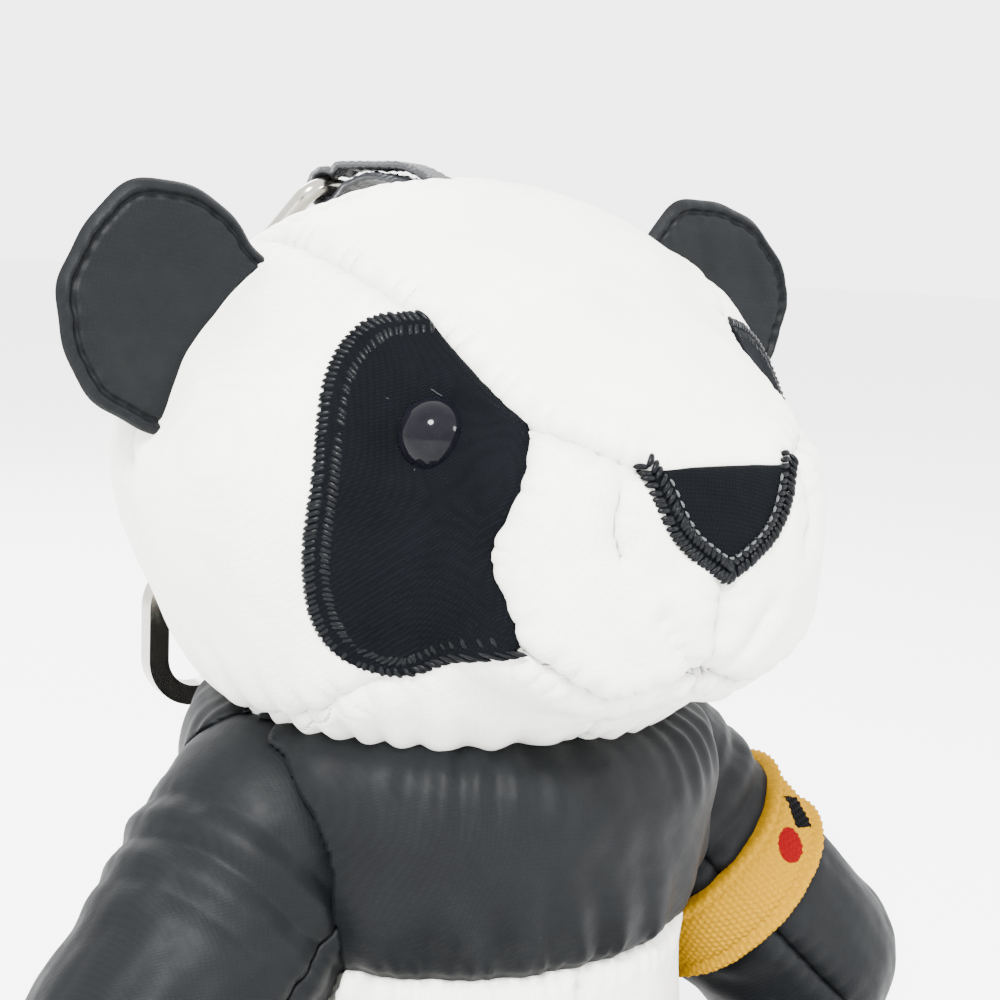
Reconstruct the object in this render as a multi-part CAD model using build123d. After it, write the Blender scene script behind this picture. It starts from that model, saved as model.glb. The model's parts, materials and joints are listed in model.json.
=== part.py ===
from build123d import *
import math
import os

# A sitting stuffed panda key charm: a sewn and stuffed head, torso, arms and legs, safety eyes,
# a knitted arm band, and a key clasp that hangs down behind the head from a strap sewn in at the
# crown. Millimetres. The panda faces -Y, +X is its left, +Z is up. The origin is on the floor,
# under the middle of the torso.

# ---- fabric ----
skin = 1.2                      # one layer of satin with its backing
applique = 0.8                  # velvet patch sewn on the outside
thread = 1.1                    # height of the embroidered borders
gap = 0.3                       # clearance between soft bodies that turn against each other

# ---- head ----
head_radius = 30.0              # round the ear-to-ear line, at the middle of the head
cheek_drop = 3.0                # how much smaller the ball at each side is
cheek_place = 8.5               # that ball's centre, to each side of the middle
head_height = 92.0              # floor to the head's centre
muzzle_radius = 18.8
muzzle_forward = 23.5
muzzle_drop = 5.0
gusset_top = 24.0               # half width of the forehead strip at the ears
gusset_brow = (17.0, 16.0)      # x and height from the head's centre
gusset_cheek = (13.0, 6.0)
nose_corner = (8.8, 2.5)
nose_side = (6.4, -3.6)
nose_tip = -7.5
mouth_middle = -17.5
patch_outer = [(24.2, 11.5), (27.0, -1.5), (25.0, -13.0), (19.0, -18.2)]
patch_inner = (16.8, -5.0)
patch_low = (14.5, -14.5)
border_width = 2.0
eye_place = (18.5, 4.7)
eye_radius = 3.25
eye_height = 2.5
shank_radius = 1.1
shank_length = 6.5
washer_radius = 3.6
washer_thickness = 0.9
washer_sink = 0.5               # the washer's flat face under the curved fabric
ear_radius = 11.3
ear_thickness = 3.2
ear_angle = 25.84               # above level, seen from the front
ear_out = 1.17                  # head's surface to the middle of the ear

# ---- torso ----
seat_radius = 17.0
belly_radius = 26.5
belly_height = 21.0
waist_radius = 25.5
yoke_bottom = 44.5
yoke_radius = 28.5
yoke_middle = 54.5
neck_radius = 21.0
neck_height = 71.0
tail_radius = 6.5
tail_height = 15.0
pellet_radius = 13.0
pellet_height = 15.0
pellet_bottom = 3.0
label_width = 10.0
label_length = 18.0
label_thickness = 0.5
label_height = 20.0

# ---- arms ----
arm_pivot = (22.0, -3.0, 54.0)
arm_direction = (0.66, -0.25, -0.70)
arm_shoulder = 12.0             # radius at the shoulder
arm_paw = 11.0                  # radius at the paw
arm_length = 32.0               # shoulder pivot to the centre of the paw
arm_low, arm_high = -5.0, 30.0  # degrees that the arm can drop and rise
arm_spare = 5.0                 # degrees of room below the lowest arm
limb_skin = 1.0
band_start = 12.0               # from the shoulder pivot along the arm
band_width = 9.5
band_thickness = 1.3

# ---- legs ----
leg_pivot = (15.0, -12.0, 13.0)
leg_direction = (0.32, -0.947, 0.0)
leg_hip = 12.0
leg_radius = 13.0
leg_length = 36.0
leg_high = 20.0                 # degrees that the leg can rise
leg_flare = 5.0                 # degrees that the leg widens from the hip
sole_radius = 11.5
sole_thickness = 1.2

# ---- key hardware ----
hang_turn = 30.0                # the chain hangs this far round towards the panda's right, degrees
crown_back = 8.0                # crown seam, behind the head's centre
tape_width = 5.0
tape_thickness = 1.0
tape_reach = 12.4               # crown seam to the link's pivot
link_room = 2.955               # head's surface to the link's pivot
link_wire = 1.0                 # wire radius
link_width = 8.4
link_length = 26.5
link_corner = 2.2
link_gap = 0.8                  # head's surface to the link's wire where it lies closest
hang_room = 5.0                 # back of the head to the middle of the strap that hangs behind it
play = 0.3                      # between a tape loop and the wire in it
strap_length = 14.0
strap_layer = 0.9
eye_wire = 1.0
eye_drop = 4.6
post_radius = 1.2
post_play = 0.05
post_length = 5.2
rivet_radius = 1.9
rivet_thickness = 0.9
collar_radius = 2.8
collar_top = 1.7                # below the swivel eye's lower wire
collar_length = 5.0
hook_width = 12.0
hook_length = 18.0
hook_metal = 2.4
hook_thickness = 2.8
gate_thickness = 1.2
gate_width = 1.8
gate_play = 0.3
pin_radius = 0.5
spring_radius = 1.15
spring_thickness = 0.4

os.makedirs("parts", exist_ok=True)
head_centre = Vector(0, 0, head_height)


def save(node, shape):
    """Write one node's solids."""
    solids = shape.solids()
    export_step(solids[0] if len(solids) == 1 else Compound(children=list(solids)),
                f"parts/{node}.step")


def largest(shape):
    """The biggest solid, without the crumbs that a cut leaves."""
    return max(shape.solids(), key=lambda solid: solid.volume)


def side_name(side):
    return "left" if side > 0 else "right"


def block(low, high):
    """A box between two corners."""
    size = [high[i] - low[i] for i in range(3)]
    middle = [(high[i] + low[i]) / 2 for i in range(3)]
    return Pos(*middle) * Box(*size)


def half_space(side):
    """Everything on one side of the middle plane x = 0."""
    return block((0, -200, -50), (200, 200, 250)) if side > 0 else block((-200, -200, -50), (0, 200, 250))


front_half = block((-200, -200, -50), (200, 0, 250))
back_half = block((-200, 0, -50), (200, 200, 250))


# ---------------------------------------------------------------- head
cheek_radius = head_radius - cheek_drop
# The middle of the head is one long arc that runs smoothly into the two cheek balls.
bulge_drop = (cheek_place ** 2 - (head_radius - cheek_radius) ** 2) / (2 * (head_radius - cheek_radius))
bulge_radius = head_radius + bulge_drop


def head_form(grow):
    """The stuffed head with its muzzle, every surface moved out by grow."""
    middle, cheek = bulge_radius + grow, cheek_radius + grow
    reach = math.hypot(cheek_place, bulge_drop)
    join = (middle * cheek_place / reach, middle * bulge_drop / reach - bulge_drop)
    end = (cheek_place + cheek, 0)
    between = (cheek_place + cheek * math.cos(math.radians(25)), cheek * math.sin(math.radians(25)))
    edges = [ThreePointArc((-end[0], 0), (-between[0], between[1]), (-join[0], join[1])),
             ThreePointArc((-join[0], join[1]), (0, head_radius + grow), join),
             ThreePointArc(join, between, end), Line(end, (-end[0], 0))]
    head = Pos(*head_centre) * revolve(Plane.XY * make_face(edges), Axis.X)
    muzzle = Pos(0, -muzzle_forward, head_height - muzzle_drop) * Rot(0, 90, 0)
    return head + muzzle * Sphere(muzzle_radius + grow)


def face_prism(face):
    """A flat outline in front view, x and height from the head's centre, run through the front half."""
    return Pos(0, 0, head_height) * extrude(Plane.XZ * face, amount=70)


def sewn_on(height, *prisms):
    """What is sewn on the outside of the head, to a height, inside every prism."""
    shape = head_form(height)
    for prism in prisms:
        shape = shape & prism
    return shape - head_outer


def mirrored(points, side):
    return [(side * x, z) for x, z in points]


def outline(points):
    return make_face(Polyline(*points, close=True))


def patch_face(side):
    """The teardrop eye patch: curved outer edge, hollow inner edge, short brow edge."""
    brow, low, cheek, inner = mirrored([gusset_brow, patch_low, gusset_cheek, patch_inner], side)
    outer = Spline(brow, *mirrored(patch_outer, side), low)
    return make_face([outer, ThreePointArc(low, inner, cheek), Line(cheek, brow)])


def beside(point, centre):
    """A point moved away from a centre by the width of an embroidered border."""
    way = Vector(*point) - Vector(*centre)
    moved = Vector(*point) + way.normalized() * border_width
    return moved.X, moved.Y


def patch_border_face(side):
    """The embroidered band along the patch's outer and lower edge."""
    brow, low, *outer = mirrored([gusset_brow, patch_low] + patch_outer, side)
    centre = (side * (gusset_brow[0] + patch_outer[1][0]) / 2 - side * 3, 0)
    brow_out, low_out = beside(brow, centre), beside(low, centre)
    inside = Spline(brow, *outer, low)
    outside = Spline(low_out, *[beside(point, centre) for point in reversed(outer)], brow_out)
    return make_face([inside, Line(low, low_out), outside, Line(brow_out, brow)])


def nose_face():
    right, left = (-nose_corner[0], nose_corner[1]), nose_corner
    tip = (0, nose_tip)
    sides = [ThreePointArc(left, nose_side, tip), ThreePointArc(tip, (-nose_side[0], nose_side[1]), right)]
    return make_face(sides + [Line(right, left)])


def gusset_face():
    half = [(gusset_top, 60), (gusset_top, gusset_brow[1] + 6), gusset_brow, gusset_cheek, nose_corner]
    return outline(half + [(-x, z) for x, z in reversed(half)])


def muzzle_face(side):
    """Between the nose, the eye patch and the mouth seam."""
    corner, cheek, inner, low = mirrored([nose_corner, gusset_cheek, patch_inner, patch_low], side)
    edges = [Line((0, nose_corner[1]), corner), Line(corner, cheek), ThreePointArc(cheek, inner, low),
             Line(low, (0, mouth_middle)), Line((0, mouth_middle), (0, nose_corner[1]))]
    return make_face(edges)


def chin_face(side):
    low = mirrored([patch_low], side)[0]
    return outline([(0, mouth_middle), low, (side * 22, -20), (side * 22, -60), (0, -60)])


def surface_frame(x, z):
    """Where a line through x and z meets the front of the head, with the outward normal as Z."""
    rise = math.sqrt(bulge_radius ** 2 - x ** 2)
    radius = rise - bulge_drop
    y = -math.sqrt(radius ** 2 - z ** 2)
    normal = Vector(radius * x / rise, y, z)
    return Plane(origin=(x, y, head_height + z), z_dir=normal).location


def eye_parts(side):
    """A safety eye: a domed button on a ribbed post, and the washer that locks it inside."""
    place = surface_frame(side * eye_place[0], eye_place[1])
    ball = (eye_radius ** 2 + eye_height ** 2) / (2 * eye_height)
    dome = Pos(0, 0, eye_height - ball) * Sphere(ball) & Pos(0, 0, 5) * Cylinder(eye_radius, 10)
    shank = Pos(0, 0, -shank_length / 2) * Cylinder(shank_radius, shank_length)
    button = Pos(0, 0, applique) * dome + Pos(0, 0, applique / 2) * (
        Cylinder(shank_radius, applique)) + shank
    washer = Pos(0, 0, -skin - washer_sink - washer_thickness / 2) * (
        Cylinder(washer_radius, washer_thickness) - Cylinder(shank_radius, washer_thickness))
    room = Pos(0, 0, -shank_length / 2) * Cylinder(shank_radius, shank_length + 6)
    return place * button, place * washer, place * room


head_outer = head_form(0)
head_inner = head_form(-skin)
head_shell = head_outer - head_inner
front_shell = head_shell & front_half
back_shell = head_shell & back_half
eyes = {side: eye_parts(side) for side in (1, -1)}
eye_rooms = eyes[1][2] + eyes[-1][2]
washers = eyes[1][1] + eyes[-1][1]

gusset_prism = face_prism(gusset_face())
save("forehead_gusset", front_shell & gusset_prism)
for side in (1, -1):
    name = side_name(side)
    muzzle_prism = face_prism(muzzle_face(side))
    chin_prism = face_prism(chin_face(side))
    patch_prism = face_prism(patch_face(side))
    save(f"muzzle_panel_{name}", front_shell & muzzle_prism)
    save(f"chin_panel_{name}", front_shell & chin_prism)
    cheek = (front_shell & half_space(side)) - gusset_prism
    save(f"cheek_panel_{name}", cheek - muzzle_prism - chin_prism - eye_rooms)
    save(f"head_back_{name}", back_shell & half_space(side))
    save(f"eye_patch_{name}", sewn_on(applique, patch_prism) - eyes[side][0])
    save(f"eye_border_{name}", sewn_on(thread, face_prism(patch_border_face(side))))
    save(f"safety_eye_{name}", eyes[side][0])
    save(f"eye_washer_{name}", eyes[side][1])

save("nose_patch", sewn_on(applique, face_prism(nose_face())))
nose_ring = offset(nose_face(), amount=border_width) - nose_face()
below_nose = outline([(-60, nose_corner[1]), (60, nose_corner[1]), (60, -60), (-60, -60)])
save("nose_border", sewn_on(thread, face_prism(below_nose), face_prism(nose_ring)))
save("head_stuffing", head_inner - eye_rooms - washers)

ear_level, ear_rise = math.cos(math.radians(ear_angle)), math.sin(math.radians(ear_angle))
ear_reach = cheek_place * ear_level + math.sqrt(cheek_radius ** 2 - (cheek_place * ear_rise) ** 2) + ear_out
for side in (1, -1):
    place = Pos(side * ear_reach * ear_level, 0, head_height + ear_reach * ear_rise) * Rot(90, 0, 0)
    disc = Cylinder(ear_radius, ear_thickness)
    disc = fillet(disc.edges().filter_by(GeomType.CIRCLE), ear_thickness * 0.4)
    ear = largest((place * disc) - head_outer)
    save(f"ear_front_{side_name(side)}", ear & front_half)
    save(f"ear_back_{side_name(side)}", ear & back_half)


# ---------------------------------------------------------------- limbs
def limb_form(root, tip_radius, length, tip, grow):
    """A round limb along +Z from a ball at its pivot, ending in a ball or, for a foot, a flat sole."""
    r0, r1 = root + grow, tip_radius + grow
    ball = ThreePointArc((0, -r0), (r0 * math.sin(math.pi / 4), -r0 * math.cos(math.pi / 4)), (r0, 0))
    if tip == "ball":
        side_line = Line((r0, 0), (r1, length))
        end = ThreePointArc((r1, length), (r1 * math.cos(math.pi / 4), length + r1 * math.sin(math.pi / 4)),
                            (0, length + r1))
        edges = [ball, side_line, end, Line((0, length + r1), (0, -r0))]
    else:
        swell = 0.35 * length
        sole = sole_radius + grow
        top = length + grow
        edges = [ball, Line((r0, 0), (r1, swell)), Line((r1, swell), (r1, top - 3)),
                 ThreePointArc((r1, top - 3), (r1 - 0.44 * (r1 - sole), top - 0.88), (sole, top)),
                 Line((sole, top), (0, top)), Line((0, top), (0, -r0))]
    return revolve(Plane.XZ * make_face(edges), Axis.Z)


def limb_place(pivot, direction, side, lift=0.0):
    """Where a limb's own frame sits: Z along the limb, raised by lift about its hinge."""
    way = Vector(side * direction[0], direction[1], direction[2]).normalized()
    level = Vector(way.X, way.Y, 0).normalized()
    hinge = level.cross(Vector(0, 0, 1))
    start = Vector(side * pivot[0], pivot[1], pivot[2])
    way = way.rotate(Axis((0, 0, 0), hinge), lift)
    return Plane(origin=start, x_dir=hinge, z_dir=way).location


def arm_form(grow):
    return limb_form(arm_shoulder, arm_paw, arm_length, "ball", grow)


def leg_form(grow):
    return limb_form(leg_hip, leg_radius, leg_length, "sole", grow)


def limb_socket(pivot, direction, side, root, low, high, depth):
    """The room that a limb needs in the torso: its ball, and a cone round every angle it can reach."""
    middle = limb_place(pivot, direction, side, (low + high) / 2)
    swing = math.radians((high - low) / 2)
    reach = (root + 2 * gap) / math.cos(swing)
    start, slope = -0.25 * root, math.tan(swing)
    profile = outline([(0, start), (reach + start * slope, start), (reach + depth * slope, depth), (0, depth)])
    return [middle * Sphere(root + gap), middle * revolve(Plane.XZ * profile, Axis.Z)]


sockets = []
for side in (1, -1):
    sockets += limb_socket(arm_pivot, arm_direction, side, arm_shoulder, arm_low - arm_spare, arm_high, 20)
    sockets += limb_socket(leg_pivot, leg_direction, side, leg_hip, -leg_flare, leg_high + leg_flare, 20)

upper_half = block((-60, 0, -60), (60, 60, 120))
lower_half = block((-60, -60, -60), (60, 0, 120))
band_end = band_start + band_width


def arm_radius(distance):
    """The arm's radius at a distance along it from the pivot."""
    return arm_shoulder + (arm_paw - arm_shoulder) * distance / arm_length


for side in (1, -1):
    name = side_name(side)
    place = limb_place(arm_pivot, arm_direction, side)
    sleeve = arm_form(0) - arm_form(-limb_skin)
    save(f"arm_outer_{name}", place * (sleeve & upper_half))
    save(f"arm_inner_{name}", place * (sleeve & lower_half))
    save(f"arm_stuffing_{name}", place * arm_form(-limb_skin))

    place = limb_place(leg_pivot, leg_direction, side)
    sole_cut = Pos(0, 0, leg_length + 25 - sole_thickness) * Cylinder(sole_radius, 50)
    sleeve = leg_form(0) - leg_form(-limb_skin) - sole_cut
    filling_cut = Pos(0, 0, leg_length + 25 - sole_thickness) * Cylinder(40, 50)
    save(f"leg_upper_{name}", place * (sleeve & upper_half))
    save(f"leg_lower_{name}", place * (sleeve & lower_half))
    save(f"leg_stuffing_{name}", place * (leg_form(-limb_skin) - filling_cut))
    sole = Pos(0, 0, leg_length - sole_thickness / 2) * Cylinder(sole_radius, sole_thickness)
    save(f"leg_sole_{name}", place * sole)

inner_start = arm_radius(band_start) + gap
inner_end = arm_radius(band_end) + gap
band_profile = outline([(inner_start, band_start), (inner_start + band_thickness, band_start),
                        (inner_end + band_thickness, band_end), (inner_end, band_end)])
arm_band = revolve(Plane.XZ * band_profile, Axis.Z)
save("arm_band", limb_place(arm_pivot, arm_direction, 1) * arm_band)


# ---------------------------------------------------------------- torso
def torso_form(grow):
    """A round pear with a flat seat, a belly, a waist seam and a fuller yoke under the head."""
    bottom = -grow
    low = (seat_radius + grow, bottom)
    waist = (waist_radius + grow, yoke_bottom)
    neck = (neck_radius + grow, neck_height)
    edges = [Line((0, bottom), low), ThreePointArc(low, (belly_radius + grow, belly_height), waist),
             ThreePointArc(waist, (yoke_radius + grow, yoke_middle), neck),
             Line(neck, (0, neck_height)), Line((0, neck_height), (0, bottom))]
    return revolve(Plane.XZ * make_face(edges), Axis.Z)


def cut_all(shape, tools):
    for tool in tools:
        shape = shape - tool
    return shape


around_torso = [head_outer] + sockets
torso_solid, torso_filling = torso_form(0), torso_form(-skin)
torso_shell = torso_solid - torso_filling
seat_zone = Cylinder(seat_radius, 2 * skin)
yoke_zone = block((-60, -60, yoke_bottom), (60, 60, 120))
lower_shell = torso_shell - yoke_zone - seat_zone
save("seat_base", cut_all(torso_shell & seat_zone, sockets))
save("yoke_front", cut_all(torso_shell & yoke_zone & front_half, around_torso))
save("yoke_back", cut_all(torso_shell & yoke_zone & back_half, around_torso))
save("belly_panel", cut_all(lower_shell & front_half, sockets))
for side in (1, -1):
    panel = lower_shell & back_half & half_space(side)
    save(f"back_panel_{side_name(side)}", cut_all(panel, sockets))
pellet_bag = Pos(0, 2, pellet_bottom + pellet_height / 2) * Cylinder(pellet_radius, pellet_height)
pellet_bag = cut_all(fillet(pellet_bag.edges(), 4), sockets)
save("pellet_bag", pellet_bag)
save("body_stuffing", cut_all(torso_filling, around_torso) - pellet_bag)
tail = Pos(0, belly_radius + 2, tail_height) * Sphere(tail_radius) - torso_solid
save("tail", tail)
label_reach = belly_radius + label_width
label = block((0, 0, label_height), (label_reach, label_thickness, label_height + label_length))
label = Rot(0, 0, 60) * label - torso_solid
save("care_label", largest(label))


# ---------------------------------------------------------------- key hardware
# The chain is drawn in its own frame: +Y away from the crown, +X along the hinge lines, Z from the
# head's centre. chain_place turns it round the crown seam to where it hangs.
chain_place = Pos(0, crown_back, head_height) * Rot(0, 0, hang_turn)
side_plane = Plane.YZ


def across(face, width):
    """A face in the chain's side view, made as wide as width, centred on the chain."""
    return extrude(side_plane * face, amount=width / 2, both=True)


def tape_loop(centre, wire):
    """The round eye of a tape that wraps a wire, as rings in side view."""
    inner = wire + play
    return (Pos(*centre) * Circle(inner + tape_thickness)), (Pos(*centre) * Circle(inner))


def head_width(place):
    """The head's radius round the ear-to-ear line at a point of the chain's frame."""
    return math.sqrt(bulge_radius ** 2 - (place.X - head_centre.X) ** 2) - bulge_drop


def chain_point(side, reach, height):
    return (chain_place * Pos(side, reach, height)).position - head_centre


def clears_head(lean):
    """Whether the link at this angle below level, and the strap under it, stay outside the head."""
    across_link = -link_width / 2
    for share in range(11):
        along = link_length * share / 10
        wire = chain_point(across_link, tape_reach + along * math.cos(lean), tape_rise - along * math.sin(lean))
        if math.hypot(wire.Y, wire.Z) < head_width(wire) + link_wire + link_gap:
            return False
    far = chain_point(0, tape_reach + link_length * math.cos(lean), 0)
    return far.Y > head_width(far) + hang_room


pivot_level = chain_point(0, tape_reach, 0)
tape_rise = math.sqrt((head_width(pivot_level) + link_room) ** 2 - pivot_level.Y ** 2)
leans = [math.radians(tenth / 10) for tenth in range(900)]
lean = max(angle for angle in leans if clears_head(angle))
link_pivot = (tape_reach, tape_rise)
link_far = (tape_reach + link_length * math.cos(lean), tape_rise - link_length * math.sin(lean))

# The crown tape lies along the head from the crown seam to the link.
ring, hole = tape_loop(link_pivot, link_wire)
tape_start, tape_middle = (-1.0, head_radius - 0.1), (5.5, head_radius - 1.3)
tape_end = (tape_reach - 1.8, tape_rise + 0.4)
arc = ThreePointArc(tape_start, tape_middle, tape_end)
tape = trace(arc, line_width=2 * tape_thickness)
tape_body = across(make_face(tape.edges()) + ring - hole, tape_width)
save("crown_tape", largest(chain_place * tape_body - head_outer))

path = fillet(Rectangle(link_width, link_length).vertices(), link_corner).face().outer_wire()
start = path @ 0
link = sweep(Plane(origin=start, z_dir=path % 0) * Circle(link_wire), path=path)
middle = ((link_pivot[0] + link_far[0]) / 2, (link_pivot[1] + link_far[1]) / 2)
link = Pos(0, middle[0], middle[1]) * Rot(-math.degrees(lean), 0, 0) * link
save("oval_link", chain_place * link)

strap_low = (link_far[0], link_far[1] - strap_length)
ring, hole = tape_loop(link_far, link_wire)
low_ring = Pos(*strap_low) * Circle(eye_wire + strap_layer)
low_hole = Pos(*strap_low) * Circle(eye_wire)
band = Pos(link_far[0], link_far[1] - strap_length / 2) * Rectangle(2 * strap_layer, strap_length)
save("strap", chain_place * across(ring + band + low_ring - hole - low_hole, tape_width))

# The swivel eye: a wire frame held in the strap's lower end, with a riveted post below it.
frame_path = fillet(Rectangle(link_width, eye_drop).vertices(), 1.6).face().outer_wire()
start = frame_path @ 0
eye_frame = sweep(Plane(origin=start, z_dir=frame_path % 0) * Circle(eye_wire), path=frame_path)
eye_frame = Rot(90, 0, 0) * eye_frame
eye_low = strap_low[1] - eye_drop
post = Pos(0, 0, -post_length / 2) * Cylinder(post_radius, post_length)
rivet = Pos(0, 0, -post_length - rivet_thickness / 2) * Cylinder(rivet_radius, rivet_thickness)
swivel = Pos(0, strap_low[0], eye_low + eye_drop / 2) * eye_frame
swivel += Pos(0, strap_low[0], eye_low) * (post + rivet)
save("swivel_eye", chain_place * swivel)

# The clasp: a collar that turns on the post, a hook and a sprung gate. Its flat faces front and back.
clasp_place = chain_place * Pos(0, strap_low[0], eye_low - collar_top) * Rot(0, 0, -hang_turn)
collar = Pos(0, 0, -collar_length / 2) * Cylinder(collar_radius, collar_length)
bore_depth = post_length - collar_top - gate_play
bore = Pos(0, 0, -bore_depth / 2) * Cylinder(post_radius + post_play, bore_depth)
pocket_depth = rivet_thickness + 2 * gate_play
pocket = Pos(0, 0, -bore_depth - pocket_depth / 2) * Cylinder(rivet_radius + gate_play, pocket_depth)
hook_middle = -collar_length - hook_length / 2 + 1.0
plate = Plane.XZ
outer_slot = Pos(0, hook_middle) * Rot(0, 0, 90) * SlotOverall(hook_length, hook_width)
inner_slot = Pos(0, hook_middle) * Rot(0, 0, 90) * SlotOverall(
    hook_length - 2 * hook_metal, hook_width - 2 * hook_metal)
gate_line = hook_width / 2 - hook_metal / 2
gate_top = hook_middle + hook_length / 2 - hook_width / 2 + 1.0
gate_bottom = hook_middle - hook_length / 2 + hook_width / 2 - 0.5
mouth = Pos(gate_line + 1.0, (gate_top + gate_bottom) / 2) * Rectangle(
    hook_metal + 2.6, gate_top - gate_bottom)
hook = extrude(plate * (outer_slot - inner_slot - mouth), amount=hook_thickness / 2, both=True)
knuckle_radius = hook_metal * 0.75
knuckle = extrude(plate * (Pos(gate_line, gate_top) * Circle(knuckle_radius)),
                  amount=hook_thickness / 2, both=True)
slot_width = gate_thickness + spring_thickness + 3 * 0.1
gate_slot = extrude(plate * (Pos(gate_line, gate_top) * Circle(knuckle_radius + gate_play)),
                    amount=slot_width / 2, both=True)
pin_room = extrude(plate * (Pos(gate_line, gate_top) * Circle(pin_radius)), amount=5, both=True)
clasp = collar + hook + knuckle - bore - pocket - gate_slot - pin_room
save("clasp_body", clasp_place * clasp)
gate_pin = extrude(plate * (Pos(gate_line, gate_top) * Circle(pin_radius)),
                   amount=hook_thickness / 2, both=True)
save("gate_pin", clasp_place * gate_pin)
gate_foot = gate_bottom + gate_play
gate_face = Pos(gate_line, gate_top) * Circle(knuckle_radius - 0.1)
gate_face += Pos(gate_line, (gate_top + gate_foot) / 2) * Rectangle(gate_width, gate_top - gate_foot)
gate_face += Pos(gate_line + 1.6, gate_top - 2.8) * Circle(1.1)
gate_face -= Pos(gate_line, gate_top) * Circle(pin_radius + post_play)
gate_low = -slot_width / 2 + 0.1
gate = extrude(plate.offset(gate_low) * gate_face, amount=gate_thickness)
save("clasp_gate", clasp_place * gate)
spring_face = Circle(spring_radius) - Circle(pin_radius + post_play)
spring = extrude(plate.offset(gate_low + gate_thickness + 0.1) * (Pos(gate_line, gate_top) * spring_face),
                 amount=spring_thickness)
save("gate_spring", clasp_place * spring)

print("link lean", math.degrees(lean), "tape rise", tape_rise)
places = {"link pivot": chain_place * Pos(0, *link_pivot), "strap pivot": chain_place * Pos(0, *link_far),
          "clasp swivel": clasp_place, "gate pivot": clasp_place * Pos(gate_line, 0, gate_top),
          "clasp opening": clasp_place * Pos(0, 0, hook_middle)}
for name, place in places.items():
    print(name, place.position)
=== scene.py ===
import json
import math

import bpy
import numpy as np
from mathutils import Matrix, Vector, kdtree


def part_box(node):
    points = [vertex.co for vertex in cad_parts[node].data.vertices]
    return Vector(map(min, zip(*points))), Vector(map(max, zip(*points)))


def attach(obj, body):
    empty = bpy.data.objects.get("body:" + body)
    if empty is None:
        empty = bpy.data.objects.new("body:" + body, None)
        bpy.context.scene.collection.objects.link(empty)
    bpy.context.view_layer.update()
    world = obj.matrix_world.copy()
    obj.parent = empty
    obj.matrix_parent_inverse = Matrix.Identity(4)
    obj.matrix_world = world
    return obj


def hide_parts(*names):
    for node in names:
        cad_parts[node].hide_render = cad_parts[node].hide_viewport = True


# The looks of a sitting plush panda key charm. Everything is worked out in millimetres, in the
# CAD model's frame: the panda faces -Y, +X is its left, +Z is up. Outlines of the face are given
# as x and height from the head's centre, as they are sewn.

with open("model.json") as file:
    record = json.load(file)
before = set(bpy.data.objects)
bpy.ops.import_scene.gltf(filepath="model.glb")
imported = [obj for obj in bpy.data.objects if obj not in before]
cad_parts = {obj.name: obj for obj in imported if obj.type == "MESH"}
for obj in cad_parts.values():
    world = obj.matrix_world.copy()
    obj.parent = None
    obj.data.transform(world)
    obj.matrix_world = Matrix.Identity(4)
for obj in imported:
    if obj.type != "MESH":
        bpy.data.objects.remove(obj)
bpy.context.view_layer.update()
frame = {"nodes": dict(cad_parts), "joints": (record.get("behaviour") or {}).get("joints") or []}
MM = 0.001
joints = {joint["name"]: joint for joint in frame["joints"]}
chance = np.random.default_rng(20)

# ---- sizes ----
head_high = np.array(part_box("head_stuffing")[1]) / MM
stuffing_depth = 1.2            # fabric over the head's stuffing
head_half_width = head_high[0] + stuffing_depth
head_radius = head_high[1] + stuffing_depth
head_centre = np.array([0.0, 0.0, head_high[2] + stuffing_depth - head_radius])
cheek_radius = 27.0
crown_height = 26.6             # the sewn head is flatter on top than its stuffing's room
muzzle_middle = np.array([0.0, -22.8, -4.6])
muzzle_radii = np.array([17.8, 18.8, 14.8])
muzzle_squareness = 3.0
bridge_middle = np.array([0.0, -24.0, 5.5])
bridge_radii = np.array([14.0, 12.0, 9.0])
jowl_middle = np.array([0.0, -0.5, -16.0])
jowl_radii = np.array([26.8, 26.0, 13.6])
jowl_blend = 6.0
muzzle_blend = 7.0

gusset_top = (24.0, 22.0)
gusset_brow = (17.2, 13.9)
gusset_cheek = (14.2, 6.1)
nose_corner = (8.3, 3.3)
nose_side = (5.3, -2.2)
nose_tip = (0.0, -6.0)
mouth_middle = (0.0, -14.0)
mouth_side = (8.0, -16.2)
patch_low = (15.4, -11.9)
patch_inner = (16.9, -3.8)
patch_outer = [(21.1, 12.8), (24.7, 8.4), (26.4, 0.2), (26.3, -7.4), (23.6, -13.9), (19.0, -15.9)]
chin_corner = (22.0, -19.0)
eye_place = (18.5, 4.7)
eye_radius = 3.25
border_width = 2.1
stitch_pitch = 0.52
patch_height = 0.85
skin = 0.8

ear_radius = 11.3
ear_places = {1: (28.8, 15.2), -1: (33.0, 13.7)}
ear_forward = 2.6

torso_profile = [(0.0, 15.5), (1.6, 18.6), (8.0, 23.6), (21.0, 26.6), (35.0, 26.2), (44.5, 26.0),
                 (50.0, 28.0), (56.0, 28.6), (60.0, 28.6), (64.0, 27.4), (66.2, 25.0), (68.6, 19.0)]
waist_height = 44.5

arm_direction = (0.66, -0.25, -0.70)
arm_shoulder, arm_paw, arm_length = 12.0, 11.0, 32.0
leg_direction = (0.32, -0.947, 0.0)
leg_hip, leg_radius, leg_length, sole_radius = 12.0, 13.0, 36.0, 11.5
limb_gap = 0.8
arm_lowest, arm_highest = -5.0, 30.0
leg_highest = 20.0
band_start, band_width, band_inside = 10.6, 9.5, 0.35
band_radius, band_thickness = 12.9, 1.7    # where its stitches are counted, and room for it
knit_cell = 0.68
motif_facing, motif_gap = (0.21, -0.76, 0.58), 2.6
dot_radius, diamond_reach = 2.0, 2.7

label_angle, label_reach, label_width = 60, 36.3, 12.0
tape_width, tape_thickness = 5.0, 0.8
crown_loop, strap_top_loop, strap_low_loop = 1.85, 1.8, 1.45
both_sides = ((1, "left"), (-1, "right"))


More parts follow.
